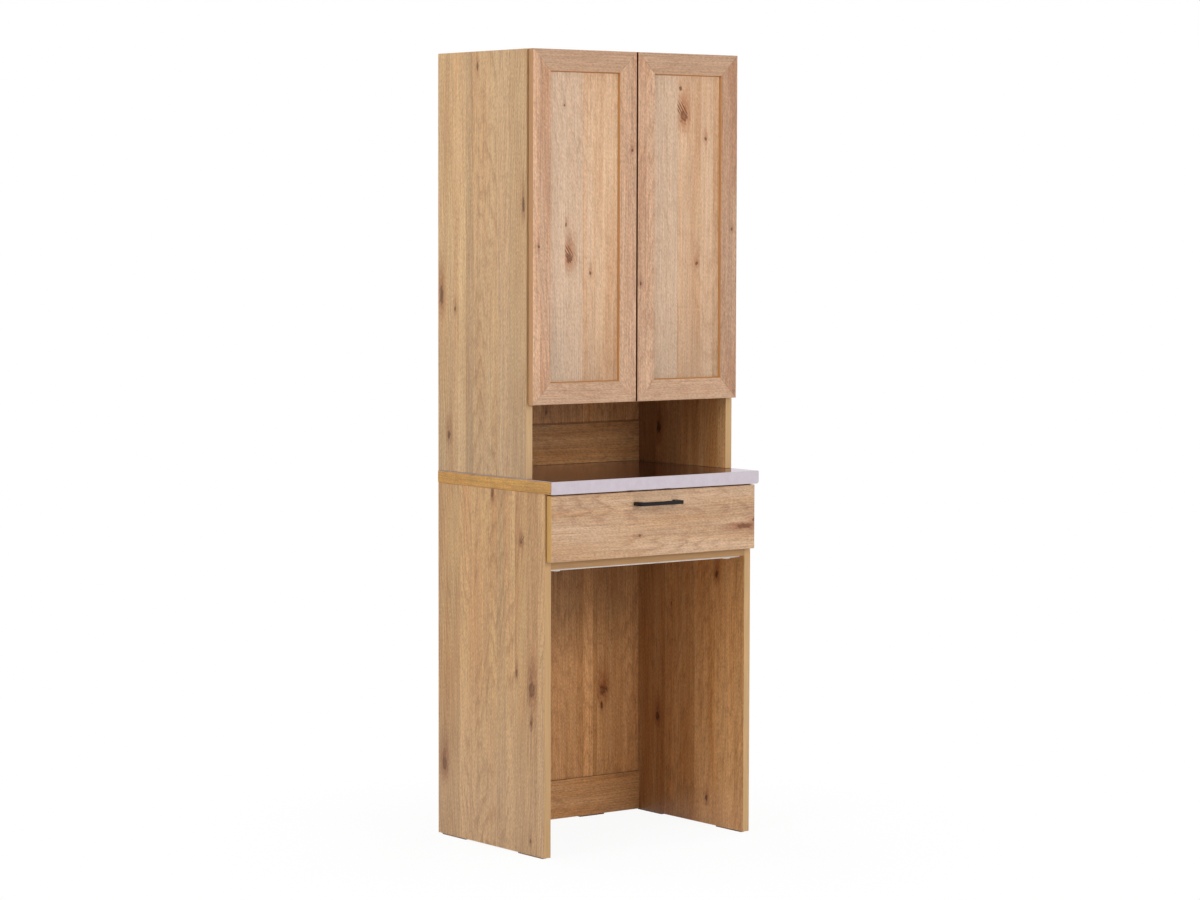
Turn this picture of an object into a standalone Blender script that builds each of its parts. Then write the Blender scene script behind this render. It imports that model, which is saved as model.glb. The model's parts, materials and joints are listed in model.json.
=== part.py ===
# Tall kitchen cupboard: an upper cabinet with two framed doors stands on a steel-topped
# counter, and a drawer hangs below the counter over an open bay for bins.
# Metres, +Z up. The front faces -Y, the floor is Z = 0 and X = 0 is the middle.

import math

import bmesh
import bpy
from mathutils import Vector

for old in list(bpy.data.objects):
    bpy.data.objects.remove(old, do_unlink=True)

# Overall sizes, with the heights in their order up from the floor
carcass_width = 0.600
upper_depth = 0.350
lower_depth = 0.422
bay_height = 0.659
drawer_front_height = 0.150
drawer_front_gap = 0.004
counter_side_height = 0.029
niche_height = 0.170
upper_height = 0.800

# Boards, shared by both cabinets
board = 0.018
edge_radius = 0.0006
touch = 0.0003
overrun = 0.005
back_thick = 0.0027
back_groove = 0.006
back_play = 0.0003

# Upper cabinet
upper_back_inset = 0.0144
upper_rail_height = 0.096
upper_rail_ahead = 0.0036
shelf_back_gap = 0.0008
shelf_end_play = 0.0003
shelf_setback = 0.012
adjustable_thick = 0.015

# Shelf pins and the rows of holes they stand in
pin_peg_radius = 0.0025
pin_peg_length = 0.009
pin_hole_spare = 0.001
pin_collar_radius = 0.0045
pin_collar_thick = 0.0012
pin_rest_radius = 0.0032
pin_rest_length = 0.008
pin_row_inset = 0.037
pin_hole_pitch = 0.032
pin_holes_each_way = 1
pin_sides = 16

# Doors
door_inset = 0.004
door_gap = 0.004
door_stand_off = 0.003
front_thick = 0.018
bottom_board_lift = 0.002
frame_bevel_width = 0.0025
frame_radius = 0.0016
frame_back_radius = 0.0005
mitre_gap = 0.0003
door_panel_thick = 0.006
door_panel_recess = 0.006
door_panel_groove = 0.008
door_panel_play = 0.0005

# Cup hinges
hinge_inset = 0.100
bore_radius = 0.0175
bore_from_edge = 0.003
bore_to_groove = 0.005
bore_depth = 0.0135
cup_wall = 0.0008
cup_flange_width = 0.001
cup_flange_thick = 0.0009
cup_wing_half_height = 0.0260
cup_wing_half_width = 0.0070
hinge_pin_radius = 0.0010
hinge_pin_bite = 0.0004
hinge_pin_from_rim = 0.0045
hinge_eye_radius = 0.0022
hinge_eye_gap = 0.0007
arm_thick = 0.0024
arm_half_width = 0.0040
arm_from_side = 0.007
arm_elbow_radius = 0.0034
arm_body_start = 0.004
arm_body_length = 0.054
arm_body_half_width = 0.008
arm_body_margin = 0.0006
arm_overlap = 0.004
arm_plate_half_height = 0.027
arm_plate_thick = 0.0022
arm_plate_start = 0.030
arm_plate_length = 0.022
round_sides = 40
small_round_sides = 20

# Counter
counter_nose = 0.008
counter_overhang = 0.0015
steel_thick = 0.001
steel_bend = 0.0025
steel_return = 0.012

# Lower cabinet
lower_back_inset = 0.0162
lower_rail_height = 0.094
lower_rail_ahead = 0.0058
lower_rail_thick = 0.018
top_rail_depth = 0.080
stiffener_setback = 0.017
stiffener_width = 0.024
stiffener_height = 0.0045
stiffener_thick = 0.0012
cap_margin = 0.001
cap_thick = 0.0012
cap_crown = 0.0005
cap_from_side = 0.033
cap_sides = 28

# Floor glides
glide_thick = 0.003
glide_length = 0.094
glide_width = 0.012
glide_end_inset = 0.012
glide_radius = 0.0008
rail_glide_length = 0.073
rail_glide_from_side = 0.142

# Plates that tie the upper cabinet, the counter and the lower cabinet at the back
plate_width = 0.030
plate_above_counter = 0.045
plate_below_counter = 0.016
plate_thick = 0.0015
plate_from_side = 0.100

# Drawer
drawer_gap = 0.002
drawer_front_radius = 0.0012
drawer_board = 0.012
drawer_box_lift = 0.013
drawer_box_clearance = 0.0127
drawer_rear_space = 0.0475
drawer_bottom_thick = 0.003
drawer_bottom_lift = 0.010
drawer_groove = 0.005
drawer_groove_play = 0.0003

# Drawer slides, in three nested members on each side
slide_space = 0.0127
slide_shorter = 0.010
slide_setback = 0.002
slide_half_height = 0.0175
slide_sheet = 0.0012
slide_gap = 0.0006
slide_lip_short = 0.0039

# Drawer handle
handle_length = 0.126
handle_height = 0.0085
handle_reach = 0.028
handle_bar_thick = 0.006
handle_foot_width = 0.014
handle_corner = 0.004
handle_hollow = 0.013
handle_drop = 0.028
handle_edge = 0.0008

# Places worked out from the sizes
half_width = carcass_width / 2
inner_half = half_width - board
overall_depth = plate_thick + touch + lower_depth + drawer_gap + front_thick + handle_reach
back_plane = overall_depth / 2 - plate_thick - touch
counter_depth = lower_depth + drawer_gap + front_thick + counter_nose
deck_top = bay_height + board
counter_underside = deck_top + drawer_front_height + drawer_front_gap
counter_height = counter_underside + counter_side_height
top_rail_floor = counter_underside - touch - board
lower_rail_inset = lower_back_inset + lower_rail_ahead
niche_ceiling = counter_height + niche_height
compartment_floor = niche_ceiling + board
total_height = niche_ceiling + upper_height
compartment_ceiling = total_height - board
door_bottom = niche_ceiling - bottom_board_lift
frame_width = bore_from_edge + 2 * bore_radius + bore_to_groove + door_panel_groove
pivot_from_edge = bore_from_edge + hinge_pin_from_rim
cup_floor_ahead = door_stand_off + bore_depth - touch - cup_wall
pivot_ahead = cup_floor_ahead - hinge_eye_gap - hinge_eye_radius
arm_elbow = board - door_inset + arm_from_side
box_half = inner_half - slide_space
box_bottom = deck_top + drawer_box_lift
box_top = top_rail_floor - drawer_box_clearance
box_length = lower_depth + drawer_gap - touch - lower_back_inset - drawer_rear_space
slide_middle_height = (box_bottom + box_top) / 2


def y_at(depth):
    """World Y of a point this far in front of the cabinets' back plane."""
    return back_plane - depth


def finish(name, colour, roughness, metallic=0.0):
    made = bpy.data.materials.new(name)
    made.use_nodes = True
    shader = made.node_tree.nodes["Principled BSDF"]
    shader.inputs["Base Color"].default_value = (*colour, 1.0)
    shader.inputs["Roughness"].default_value = roughness
    shader.inputs["Metallic"].default_value = metallic
    return made


carcass_oak = finish("carcass_oak", (0.47, 0.29, 0.12), 0.5)
front_oak = finish("front_oak", (0.58, 0.37, 0.21), 0.45)
back_oak = finish("back_oak", (0.42, 0.24, 0.10), 0.55)
drawer_white = finish("drawer_white", (0.80, 0.78, 0.74), 0.5)
counter_steel = finish("counter_steel", (0.60, 0.59, 0.61), 0.28, 1.0)
zinc_steel = finish("zinc_steel", (0.55, 0.56, 0.58), 0.35, 1.0)
white_steel = finish("white_steel", (0.85, 0.84, 0.83), 0.4)
white_plastic = finish("white_plastic", (0.86, 0.85, 0.83), 0.45)
grey_plastic = finish("grey_plastic", (0.45, 0.44, 0.42), 0.6)
black_metal = finish("black_metal", (0.018, 0.017, 0.018), 0.42, 0.3)


def add_object(name, mesh, at, parent=None, turn=(0.0, 0.0, 0.0)):
    made = bpy.data.objects.new(name, mesh)
    bpy.context.scene.collection.objects.link(made)
    made.rotation_euler = turn
    made.location = Vector(at) - (parent.location if parent else Vector())
    made.parent = parent
    return made


def mesh_from(name, work, material):
    bmesh.ops.recalc_face_normals(work, faces=work.faces)
    mesh = bpy.data.meshes.new(name)
    work.to_mesh(mesh)
    work.free()
    if material:
        mesh.materials.append(material)
    return mesh


def axis_empty(name, at):
    """An empty on a joint's axis, which carries the pieces that the joint moves."""
    made = bpy.data.objects.new(name, None)
    bpy.context.scene.collection.objects.link(made)
    made.location = at
    return made


def round_edges(piece, radius, segments=2, limit=math.radians(40)):
    bevel = piece.modifiers.new("rounded_edges", "BEVEL")
    bevel.width = radius
    bevel.segments = segments
    bevel.limit_method = "ANGLE"
    bevel.angle_limit = limit


def boolean(piece, other, operation):
    """Joins, cuts or keeps with another object, which is left out of the model itself."""
    step = piece.modifiers.new(other.name, "BOOLEAN")
    step.object = other
    step.operation = operation
    step.solver = "EXACT"
    other.hide_render = True
    other.display_type = "WIRE"


def block(name, low, high, material=None, parent=None, radius=0.0):
    """A board or bar between two corners, with its edges rounded where a radius is given."""
    low, high = Vector(low), Vector(high)
    work = bmesh.new()
    bmesh.ops.create_cube(work, size=1)
    bmesh.ops.scale(work, vec=high - low, verts=work.verts)
    piece = add_object(name, mesh_from(name, work, material), (low + high) / 2, parent)
    if radius:
        round_edges(piece, radius)
    return piece


def prism(name, outline, ends, place, material=None, parent=None, sharp=30):
    """A closed outline carried between two ends.

    outline holds (a, b) pairs, ends gives the two lengths at (a, b), which may differ from
    point to point as on a mitre, and place turns (a, b, length) into a world position.
    """
    rims = [[Vector(place(a, b, length)) for (a, b), length in zip(outline, end)] for end in ends]
    middle = sum((point for rim in rims for point in rim), Vector()) / (2 * len(outline))
    work = bmesh.new()
    first, second = [[work.verts.new(point - middle) for point in rim] for rim in rims]
    work.faces.new(first)
    work.faces.new(second)
    for i in range(len(outline)):
        j = (i + 1) % len(outline)
        work.faces.new((first[i], first[j], second[j], second[i]))
    mesh = mesh_from(name, work, material)
    mesh.shade_smooth()
    mesh.set_sharp_from_angle(angle=math.radians(sharp))
    return add_object(name, mesh, middle, parent)


def straight(outline, low, high):
    """Square ends for a prism."""
    return [[low] * len(outline), [high] * len(outline)]


def turned(name, profile, sides, at, turn=(0.0, 0.0, 0.0), material=None, parent=None):
    """A round piece: (radius, height) pairs turned about the object's own Z, ends closed."""
    work = bmesh.new()
    rings = []
    for radius, height in profile:
        angles = [math.tau * i / sides for i in range(sides)]
        points = [(radius * math.cos(a), radius * math.sin(a), height) for a in angles]
        rings.append([work.verts.new(point) for point in points])
    for lower, upper in zip(rings, rings[1:]):
        for i in range(sides):
            j = (i + 1) % sides
            work.faces.new((lower[i], lower[j], upper[j], upper[i]))
    work.faces.new(rings[0])
    work.faces.new(rings[-1])
    mesh = mesh_from(name, work, material)
    mesh.shade_smooth()
    mesh.set_sharp_from_angle(angle=math.radians(30))
    return add_object(name, mesh, at, parent, turn)


def arc(centre, radius, start, stop, steps):
    """Points on a circle from one angle to another, in degrees."""
    angles = [math.radians(start + (stop - start) * i / steps) for i in range(steps + 1)]
    return [(centre[0] + radius * math.cos(a), centre[1] + radius * math.sin(a)) for a in angles]


def cylinder_cutter(name, radius, low, high, sides, at, turn):
    return turned(name, [(radius, low), (radius, high)], sides, at, turn)


facing_front = (math.radians(90), 0.0, 0.0)


def groove_for_back(board_piece, name, low, high, inset):
    """A slot for a back panel, with play on both of the panel's faces."""
    front = y_at(inset + back_play)
    rear = y_at(inset - back_thick - back_play)
    slot = block(name, (low[0], front, low[1]), (high[0], rear, high[1]))
    boolean(board_piece, slot, "DIFFERENCE")


def upper_side(side, word):
    outer, inner = side * half_width, side * inner_half
    piece = block(
        f"upper_side_{word}",
        (min(outer, inner), y_at(upper_depth), counter_height + touch),
        (max(outer, inner), back_plane, total_height),
        carcass_oak,
        radius=edge_radius,
    )
    slot_floor = side * (inner_half + back_groove)
    slot_mouth = side * (inner_half - overrun)
    groove_for_back(
        piece,
        f"cut_upper_side_groove_{word}",
        (min(slot_floor, slot_mouth), counter_height - overrun),
        (max(slot_floor, slot_mouth), compartment_ceiling + back_groove),
        upper_back_inset,
    )
    for depth in pin_row_depths:
        for step in range(-pin_holes_each_way, pin_holes_each_way + 1):
            hole = cylinder_cutter(
                f"cut_pin_hole_{word}",
                pin_peg_radius + touch,
                -overrun,
                pin_peg_length + pin_hole_spare,
                pin_sides,
                (inner, y_at(depth), pin_axis_height + step * pin_hole_pitch),
                (0.0, side * math.radians(90), 0.0),
            )
            boolean(piece, hole, "DIFFERENCE")


def upper_boards():
    reach = inner_half - touch
    top = block(
        "upper_top_board",
        (-reach, y_at(upper_depth), compartment_ceiling),
        (reach, back_plane, total_height),
        carcass_oak,
        radius=edge_radius,
    )
    groove_for_back(
        top,
        "cut_top_board_groove",
        (-half_width, compartment_ceiling - overrun),
        (half_width, compartment_ceiling + back_groove),
        upper_back_inset,
    )
    block(
        "upper_bottom_board",
        (-reach, y_at(upper_depth), niche_ceiling),
        (reach, y_at(upper_back_inset + touch), compartment_floor),
        carcass_oak,
        radius=edge_radius,
    )
    rail_top = counter_height + upper_rail_height
    rail = block(
        "upper_back_rail",
        (-reach, y_at(upper_back_inset + upper_rail_ahead), counter_height + touch),
        (reach, back_plane, rail_top),
        carcass_oak,
        radius=edge_radius,
    )
    groove_for_back(
        rail,
        "cut_upper_rail_groove",
        (-half_width, rail_top - back_groove),
        (half_width, rail_top + overrun),
        upper_back_inset,
    )
    panel_half = inner_half + back_groove - back_play
    block(
        "upper_back_panel",
        (-panel_half, y_at(upper_back_inset), rail_top - back_groove + back_play),
        (
            panel_half,
            y_at(upper_back_inset - back_thick),
            compartment_ceiling + back_groove - back_play,
        ),
        back_oak,
    )


fixed_shelf_height = (compartment_floor + compartment_ceiling - board) / 2
adjustable_height = (fixed_shelf_height + board + compartment_ceiling - adjustable_thick) / 2
pin_axis_height = adjustable_height - touch - pin_rest_radius
pin_row_depths = (upper_back_inset + pin_row_inset, upper_depth - shelf_setback - pin_row_inset)


def shelves():
    reach = inner_half - touch
    rear = y_at(upper_back_inset + touch)
    block(
        "fixed_shelf",
        (-reach, y_at(upper_depth - shelf_setback), fixed_shelf_height),
        (reach, rear, fixed_shelf_height + board),
        carcass_oak,
        radius=edge_radius,
    )
    loose_reach = inner_half - touch - pin_collar_thick - shelf_end_play
    block(
        "adjustable_shelf",
        (-loose_reach, y_at(upper_depth - shelf_setback), adjustable_height),
        (loose_reach, y_at(upper_back_inset + shelf_back_gap), adjustable_height + adjustable_thick),
        carcass_oak,
        radius=edge_radius,
    )


def shelf_pin(side, depth, name):
    """A turned pin: the peg is in the side's hole and the shelf lies on the rest."""
    profile = [
        (pin_rest_radius, -pin_collar_thick - pin_rest_length),
        (pin_rest_radius, -pin_collar_thick),
        (pin_collar_radius, -pin_collar_thick),
        (pin_collar_radius, 0.0),
        (pin_peg_radius, 0.0),
        (pin_peg_radius, pin_peg_length),
    ]
    turned(
        name,
        profile,
        pin_sides,
        (side * (inner_half - touch), y_at(depth), pin_axis_height),
        (0.0, side * math.radians(90), 0.0),
        zinc_steel,
    )


def door_frame_outline():
    """Across the frame from its outer edge, and back from its face, round the section."""
    lip = door_panel_recess - door_panel_play
    floor = door_panel_recess + door_panel_thick + door_panel_play
    depth_in = frame_width - door_panel_groove
    outline = arc((frame_radius, frame_radius), frame_radius, 180, 270, 4)
    outline += [
        (frame_width - frame_bevel_width, 0.0),
        (frame_width, lip),
        (depth_in, lip),
        (depth_in, floor),
        (frame_width, floor),
        (frame_width, front_thick),
        (frame_back_radius, front_thick),
        (0.0, front_thick - frame_back_radius),
    ]
    return outline


def door(side, word):
    """Two stiles and two rails, mitred at the corners, round a panel held in their groove."""
    body = axis_empty(f"{word}_door_axis", hinge_axis(side, door_bottom))
    face = y_at(upper_depth + door_stand_off + front_thick)
    outer = side * (half_width - door_inset)
    inner = side * door_gap / 2
    outline = door_frame_outline()
    mitre = mitre_gap / math.sqrt(2)

    def ends(low, high):
        return [[low + a + mitre for a, _ in outline], [high - a - mitre for a, _ in outline]]

    heights = ends(door_bottom, total_height)
    widths = ends(min(outer, inner), max(outer, inner))

    def stile(name, edge, inward):
        return prism(
            f"{word}_door_{name}",
            outline,
            heights,
            lambda a, b, length: (edge + inward * a, face + b, length),
            front_oak,
            body,
        )

    def rail(name, edge, inward):
        return prism(
            f"{word}_door_{name}",
            outline,
            widths,
            lambda a, b, length: (length, face + b, edge + inward * a),
            front_oak,
            body,
        )

    outer_stile = stile("outer_stile", outer, -side)
    stile("inner_stile", inner, side)
    rail("top_rail", total_height, -1)
    rail("bottom_rail", door_bottom, 1)
    held = frame_width - door_panel_groove + door_panel_play
    block(
        f"{word}_door_panel",
        (min(outer, inner) + held, face + door_panel_recess, door_bottom + held),
        (
            max(outer, inner) - held,
            face + door_panel_recess + door_panel_thick,
            total_height - held,
        ),
        front_oak,
        body,
    )
    for level, height in hinge_heights:
        bore = cylinder_cutter(
            f"cut_hinge_bore_{word}_{level}",
            bore_radius,
            -overrun,
            bore_depth,
            round_sides,
            (cup_centre(side), y_at(upper_depth + door_stand_off), height),
            facing_front,
        )
        boolean(outer_stile, bore, "DIFFERENCE")
        hinge_cup(side, word, level, height, body)
        hinge_arm(side, word, level, height)


hinge_heights = (
    ("lower", door_bottom + hinge_inset),
    ("upper", total_height - hinge_inset),
)


def cup_centre(side):
    return side * (half_width - door_inset - bore_from_edge - bore_radius)


def hinge_axis(side, height):
    return (side * (half_width - door_inset - pivot_from_edge), y_at(upper_depth + pivot_ahead), height)


def hinge_cup(side, word, level, height, body):
    """A pressed cup with a round flange, two screw wings and the pin across its mouth."""
    seat = y_at(upper_depth + door_stand_off) + touch
    at = (cup_centre(side), seat, height)
    shell_radius = bore_radius - touch
    depth = bore_depth - touch
    flange_radius = bore_radius + cup_flange_width
    cup = turned(
        f"hinge_cup_{word}_{level}",
        [
            (flange_radius, -cup_flange_thick),
            (flange_radius, 0.0),
            (shell_radius, 0.0),
            (shell_radius, depth),
        ],
        round_sides,
        at,
        facing_front,
        zinc_steel,
        body,
    )
    wings = block(
        f"join_cup_wings_{word}_{level}",
        (at[0] - cup_wing_half_width, seat, height - cup_wing_half_height),
        (at[0] + cup_wing_half_width, seat + cup_flange_thick, height + cup_wing_half_height),
        parent=body,
    )
    boolean(cup, wings, "UNION")
    hollow = cylinder_cutter(
        f"cut_cup_hollow_{word}_{level}",
        shell_radius - cup_wall,
        -overrun,
        depth - cup_wall,
        round_sides,
        at,
        facing_front,
    )
    boolean(cup, hollow, "DIFFERENCE")
    pin = turned(
        f"join_cup_pin_{word}_{level}",
        [(hinge_pin_radius, -bore_radius), (hinge_pin_radius, bore_radius)],
        small_round_sides,
        hinge_axis(side, height),
    )
    inside = cylinder_cutter(
        f"keep_cup_pin_{word}_{level}",
        shell_radius - cup_wall + hinge_pin_bite,
        -overrun,
        depth,
        round_sides,
        at,
        facing_front,
    )
    boolean(pin, inside, "INTERSECT")
    boolean(cup, pin, "UNION")


def arm_outline():
    """The strap from the pin's eye, along the cup's floor and back out of its mouth.

    Pairs of the distance in from the door's outer edge and the distance ahead of the
    cabinet's front edge.
    """
    half = arm_thick / 2
    meeting = math.degrees(math.asin(half / hinge_eye_radius))
    eye = arc((pivot_from_edge, pivot_ahead), hinge_eye_radius, meeting, 360 - meeting, 12)
    tail = -arm_body_start - arm_overlap
    outer = (arm_elbow + half - arm_elbow_radius, pivot_ahead + half - arm_elbow_radius)
    inner_radius = arm_elbow_radius - arm_thick
    bend = arc(outer, inner_radius, 90, 0, 3)
    leg = [(arm_elbow - half, tail), (arm_elbow + half, tail)]
    return eye + bend + leg + arc(outer, arm_elbow_radius, 0, 90, 5)


def hinge_arm(side, word, level, height):
    """The strap on the pin, with the body and the plate that fix it inside the side board."""
    front = y_at(upper_depth)
    edge = side * (half_width - door_inset)
    outline = arm_outline()
    arm = prism(
        f"hinge_arm_{word}_{level}",
        outline,
        straight(outline, height - arm_half_width, height + arm_half_width),
        lambda u, v, length: (edge - side * u, front - v, length),
        zinc_steel,
    )
    wall = side * (inner_half - touch)
    body_far = edge - side * (arm_elbow + arm_thick / 2 + arm_body_margin)
    body_near = wall - side * arm_plate_thick / 2
    body = block(
        f"join_arm_body_{word}_{level}",
        (min(body_near, body_far), front + arm_body_start, height - arm_body_half_width),
        (
            max(body_near, body_far),
            front + arm_body_start + arm_body_length,
            height + arm_body_half_width,
        ),
    )
    boolean(arm, body, "UNION")
    plate_far = wall - side * arm_plate_thick
    plate = block(
        f"join_arm_plate_{word}_{level}",
        (min(wall, plate_far), front + arm_plate_start, height - arm_plate_half_height),
        (
            max(wall, plate_far),
            front + arm_plate_start + arm_plate_length,
            height + arm_plate_half_height,
        ),
    )
    boolean(arm, plate, "UNION")
    eye_hole = turned(
        f"cut_arm_eye_{word}_{level}",
        [
            (hinge_pin_radius + touch, -arm_half_width - overrun),
            (hinge_pin_radius + touch, arm_half_width + overrun),
        ],
        small_round_sides,
        hinge_axis(side, height),
    )
    boolean(arm, eye_hole, "DIFFERENCE")


def counter():
    """A board with a steel sheet over its top, bent down its front and back under it."""
    half = half_width + counter_overhang
    lining = steel_thick + touch
    block(
        "counter_board",
        (-half, y_at(counter_depth - lining), counter_underside),
        (half, back_plane, counter_height - lining),
        carcass_oak,
        radius=steel_bend - lining,
    )
    top = counter_height
    bottom = counter_underside - lining
    high = (counter_depth - steel_bend, top - steel_bend)
    low = (counter_depth - steel_bend, bottom + steel_bend)
    inner = steel_bend - steel_thick
    outline = [(0.0, top)]
    outline += arc(high, steel_bend, 90, 0, 4) + arc(low, steel_bend, 0, -90, 4)
    outline += [(counter_depth - steel_return, bottom)]
    outline += [(counter_depth - steel_return, bottom + steel_thick)]
    outline += arc(low, inner, -90, 0, 4) + arc(high, inner, 0, 90, 4)
    outline += [(0.0, top - steel_thick)]
    prism(
        "counter_steel",
        outline,
        straight(outline, -half, half),
        lambda depth, z, x: (x, y_at(depth), z),
        counter_steel,
    )


def lower_side(side, word):
    outer, inner = side * half_width, side * inner_half
    piece = block(
        f"lower_side_{word}",
        (min(outer, inner), y_at(lower_depth), glide_thick + touch),
        (max(outer, inner), back_plane, counter_underside - touch),
        carcass_oak,
        radius=edge_radius,
    )
    slot_floor = side * (inner_half + back_groove)
    slot_mouth = side * (inner_half - overrun)
    groove_for_back(
        piece,
        f"cut_lower_side_groove_{word}",
        (min(slot_floor, slot_mouth), -overrun),
        (max(slot_floor, slot_mouth), counter_underside + overrun),
        lower_back_inset,
    )


def lower_boards():
    reach = inner_half - touch
    block(
        "drawer_deck",
        (-reach, y_at(lower_depth), bay_height),
        (reach, y_at(lower_back_inset + touch), deck_top),
        carcass_oak,
        radius=edge_radius,
    )
    rail_top = glide_thick + lower_rail_height
    rail = block(
        "lower_back_rail",
        (-reach, y_at(lower_rail_inset), glide_thick + touch),
        (reach, y_at(lower_rail_inset - lower_rail_thick), rail_top),
        carcass_oak,
        radius=edge_radius,
    )
    groove_for_back(
        rail,
        "cut_lower_rail_groove",
        (-half_width, rail_top - back_groove),
        (half_width, rail_top + overrun),
        lower_back_inset,
    )
    top_rail = block(
        "lower_top_rail",
        (-reach, y_at(top_rail_depth), top_rail_floor),
        (reach, back_plane, counter_underside - touch),
        carcass_oak,
        radius=edge_radius,
    )
    groove_for_back(
        top_rail,
        "cut_lower_top_rail_groove",
        (-half_width, top_rail_floor - overrun),
        (half_width, top_rail_floor + back_groove),
        lower_back_inset,
    )
    panel_half = inner_half + back_groove - back_play
    block(
        "lower_back_panel",
        (-panel_half, y_at(lower_back_inset), rail_top - back_groove + back_play),
        (
            panel_half,
            y_at(lower_back_inset - back_thick),
            top_rail_floor + back_groove - back_play,
        ),
        back_oak,
    )


def deck_stiffener():
    """A folded steel channel screwed up under the deck, with caps over its two screws."""
    top = bay_height - touch
    bottom = top - stiffener_height
    front = lower_depth - stiffener_setback
    rear = front - stiffener_width
    sheet = stiffener_thick
    outline = [
        (front, top),
        (front, bottom),
        (rear, bottom),
        (rear, top),
        (rear + sheet, top),
        (rear + sheet, bottom + sheet),
        (front - sheet, bottom + sheet),
        (front - sheet, top),
    ]
    reach = inner_half - touch
    cap_radius = stiffener_width / 2 - cap_margin
    prism(
        "deck_stiffener",
        outline,
        straight(outline, -reach, reach),
        lambda depth, z, x: (x, y_at(depth), z),
        white_steel,
    )
    for side, word in sides:
        turned(
            f"stiffener_cap_{word}",
            [
                (cap_radius - cap_thick, -cap_thick - cap_crown),
                (cap_radius - cap_crown, -cap_thick),
                (cap_radius, -cap_crown),
                (cap_radius, 0.0),
            ],
            cap_sides,
            (side * (inner_half - cap_from_side), y_at((front + rear) / 2), bottom - touch),
            material=white_plastic,
        )


def glide(name, middle, depth, length_x, length_y):
    block(
        name,
        (middle - length_x / 2, y_at(depth + length_y), 0.0),
        (middle + length_x / 2, y_at(depth), glide_thick),
        grey_plastic,
        radius=glide_radius,
    )


def glides():
    for side, word in sides:
        middle = side * (half_width - board / 2)
        rear = glide_end_inset
        front = lower_depth - glide_end_inset - glide_length
        glide(f"glide_rear_{word}", middle, rear, glide_width, glide_length)
        glide(f"glide_front_{word}", middle, front, glide_width, glide_length)
    rail_depth = lower_rail_inset - (lower_rail_thick + glide_width) / 2
    rail_middle = inner_half - rail_glide_from_side
    glide("glide_back_rail", rail_middle, rail_depth, rail_glide_length, glide_width)


def joint_plates():
    rear = back_plane + touch
    for side, word in sides:
        middle = side * (half_width - plate_from_side)
        block(
            f"joint_plate_{word}",
            (middle - plate_width / 2, rear, counter_underside - plate_below_counter),
            (middle + plate_width / 2, rear + plate_thick, counter_height + plate_above_counter),
            zinc_steel,
            radius=edge_radius,
        )


def channel(web, lip, half_height, sheet):
    """A slide member's section: a web with a lip along its top and bottom."""
    way = 1 if lip > web else -1
    return [
        (web, -half_height),
        (lip, -half_height),
        (lip, -half_height + sheet),
        (web + way * sheet, -half_height + sheet),
        (web + way * sheet, half_height - sheet),
        (lip, half_height - sheet),
        (lip, half_height),
        (web, half_height),
    ]


def slide_member(name, side, web, lip, half_height, material, parent=None):
    outline = channel(web, lip, half_height, slide_sheet)
    front = y_at(lower_depth - slide_setback)
    prism(
        name,
        outline,
        straight(outline, front, front + box_length - slide_shorter),
        lambda across, up, y: (side * (inner_half - across), y, slide_middle_height + up),
        material,
        parent,
    )


def slides(side, word, middles, drawer):
    """The members nest: the cabinet's is outermost, the drawer's is innermost."""
    step = slide_sheet + slide_gap
    middle_half = slide_half_height - step
    drawer_half = middle_half - step
    outer_web = touch
    outer_lip = slide_space - slide_lip_short
    middle_web = outer_web + step
    inner_lip = middle_web + step
    inner_web = slide_space - touch
    middle_lip = inner_web - slide_sheet - slide_gap
    slide_member(
        f"slide_outer_{word}", side, outer_web, outer_lip, slide_half_height, zinc_steel
    )
    slide_member(
        f"slide_middle_{word}", side, middle_web, middle_lip, middle_half, zinc_steel, middles
    )
    slide_member(
        f"slide_inner_{word}", side, inner_web, inner_lip, drawer_half, zinc_steel, drawer
    )


def drawer_box(drawer):
    front_back_face = y_at(lower_depth + drawer_gap)
    box_front = front_back_face + touch
    box_rear = box_front + box_length
    inside = box_half - drawer_board
    bottom_low = box_bottom + drawer_bottom_lift
    bottom_high = bottom_low + drawer_bottom_thick
    for side, word in sides:
        piece = block(
            f"drawer_side_{word}",
            (min(side * box_half, side * inside), box_front, box_bottom),
            (max(side * box_half, side * inside), box_rear, box_top),
            drawer_white,
            drawer,
            edge_radius,
        )
        floor, mouth = side * (inside + drawer_groove), side * (inside - overrun)
        slot = block(
            f"cut_drawer_side_groove_{word}",
            (min(floor, mouth), box_front - overrun, bottom_low - drawer_groove_play),
            (max(floor, mouth), box_rear + overrun, bottom_high + drawer_groove_play),
        )
        boolean(piece, slot, "DIFFERENCE")
    block(
        "drawer_back",
        (-inside + touch, box_rear - drawer_board, bottom_high + touch),
        (inside - touch, box_rear, box_top),
        drawer_white,
        drawer,
        edge_radius,
    )
    bottom_half = inside + drawer_groove - drawer_groove_play
    block(
        "drawer_bottom",
        (-bottom_half, front_back_face - drawer_groove + drawer_groove_play, bottom_low),
        (bottom_half, box_rear, bottom_high),
        drawer_white,
        drawer,
    )
    front_half = half_width - door_inset
    front = block(
        "drawer_front",
        (-front_half, front_back_face - front_thick, deck_top),
        (front_half, front_back_face, deck_top + drawer_front_height),
        front_oak,
        drawer,
        drawer_front_radius,
    )
    slot = block(
        "cut_drawer_front_groove",
        (-inside - drawer_groove, front_back_face - drawer_groove, bottom_low - drawer_groove_play),
        (inside + drawer_groove, front_back_face + overrun, bottom_high + drawer_groove_play),
    )
    boolean(front, slot, "DIFFERENCE")


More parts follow.
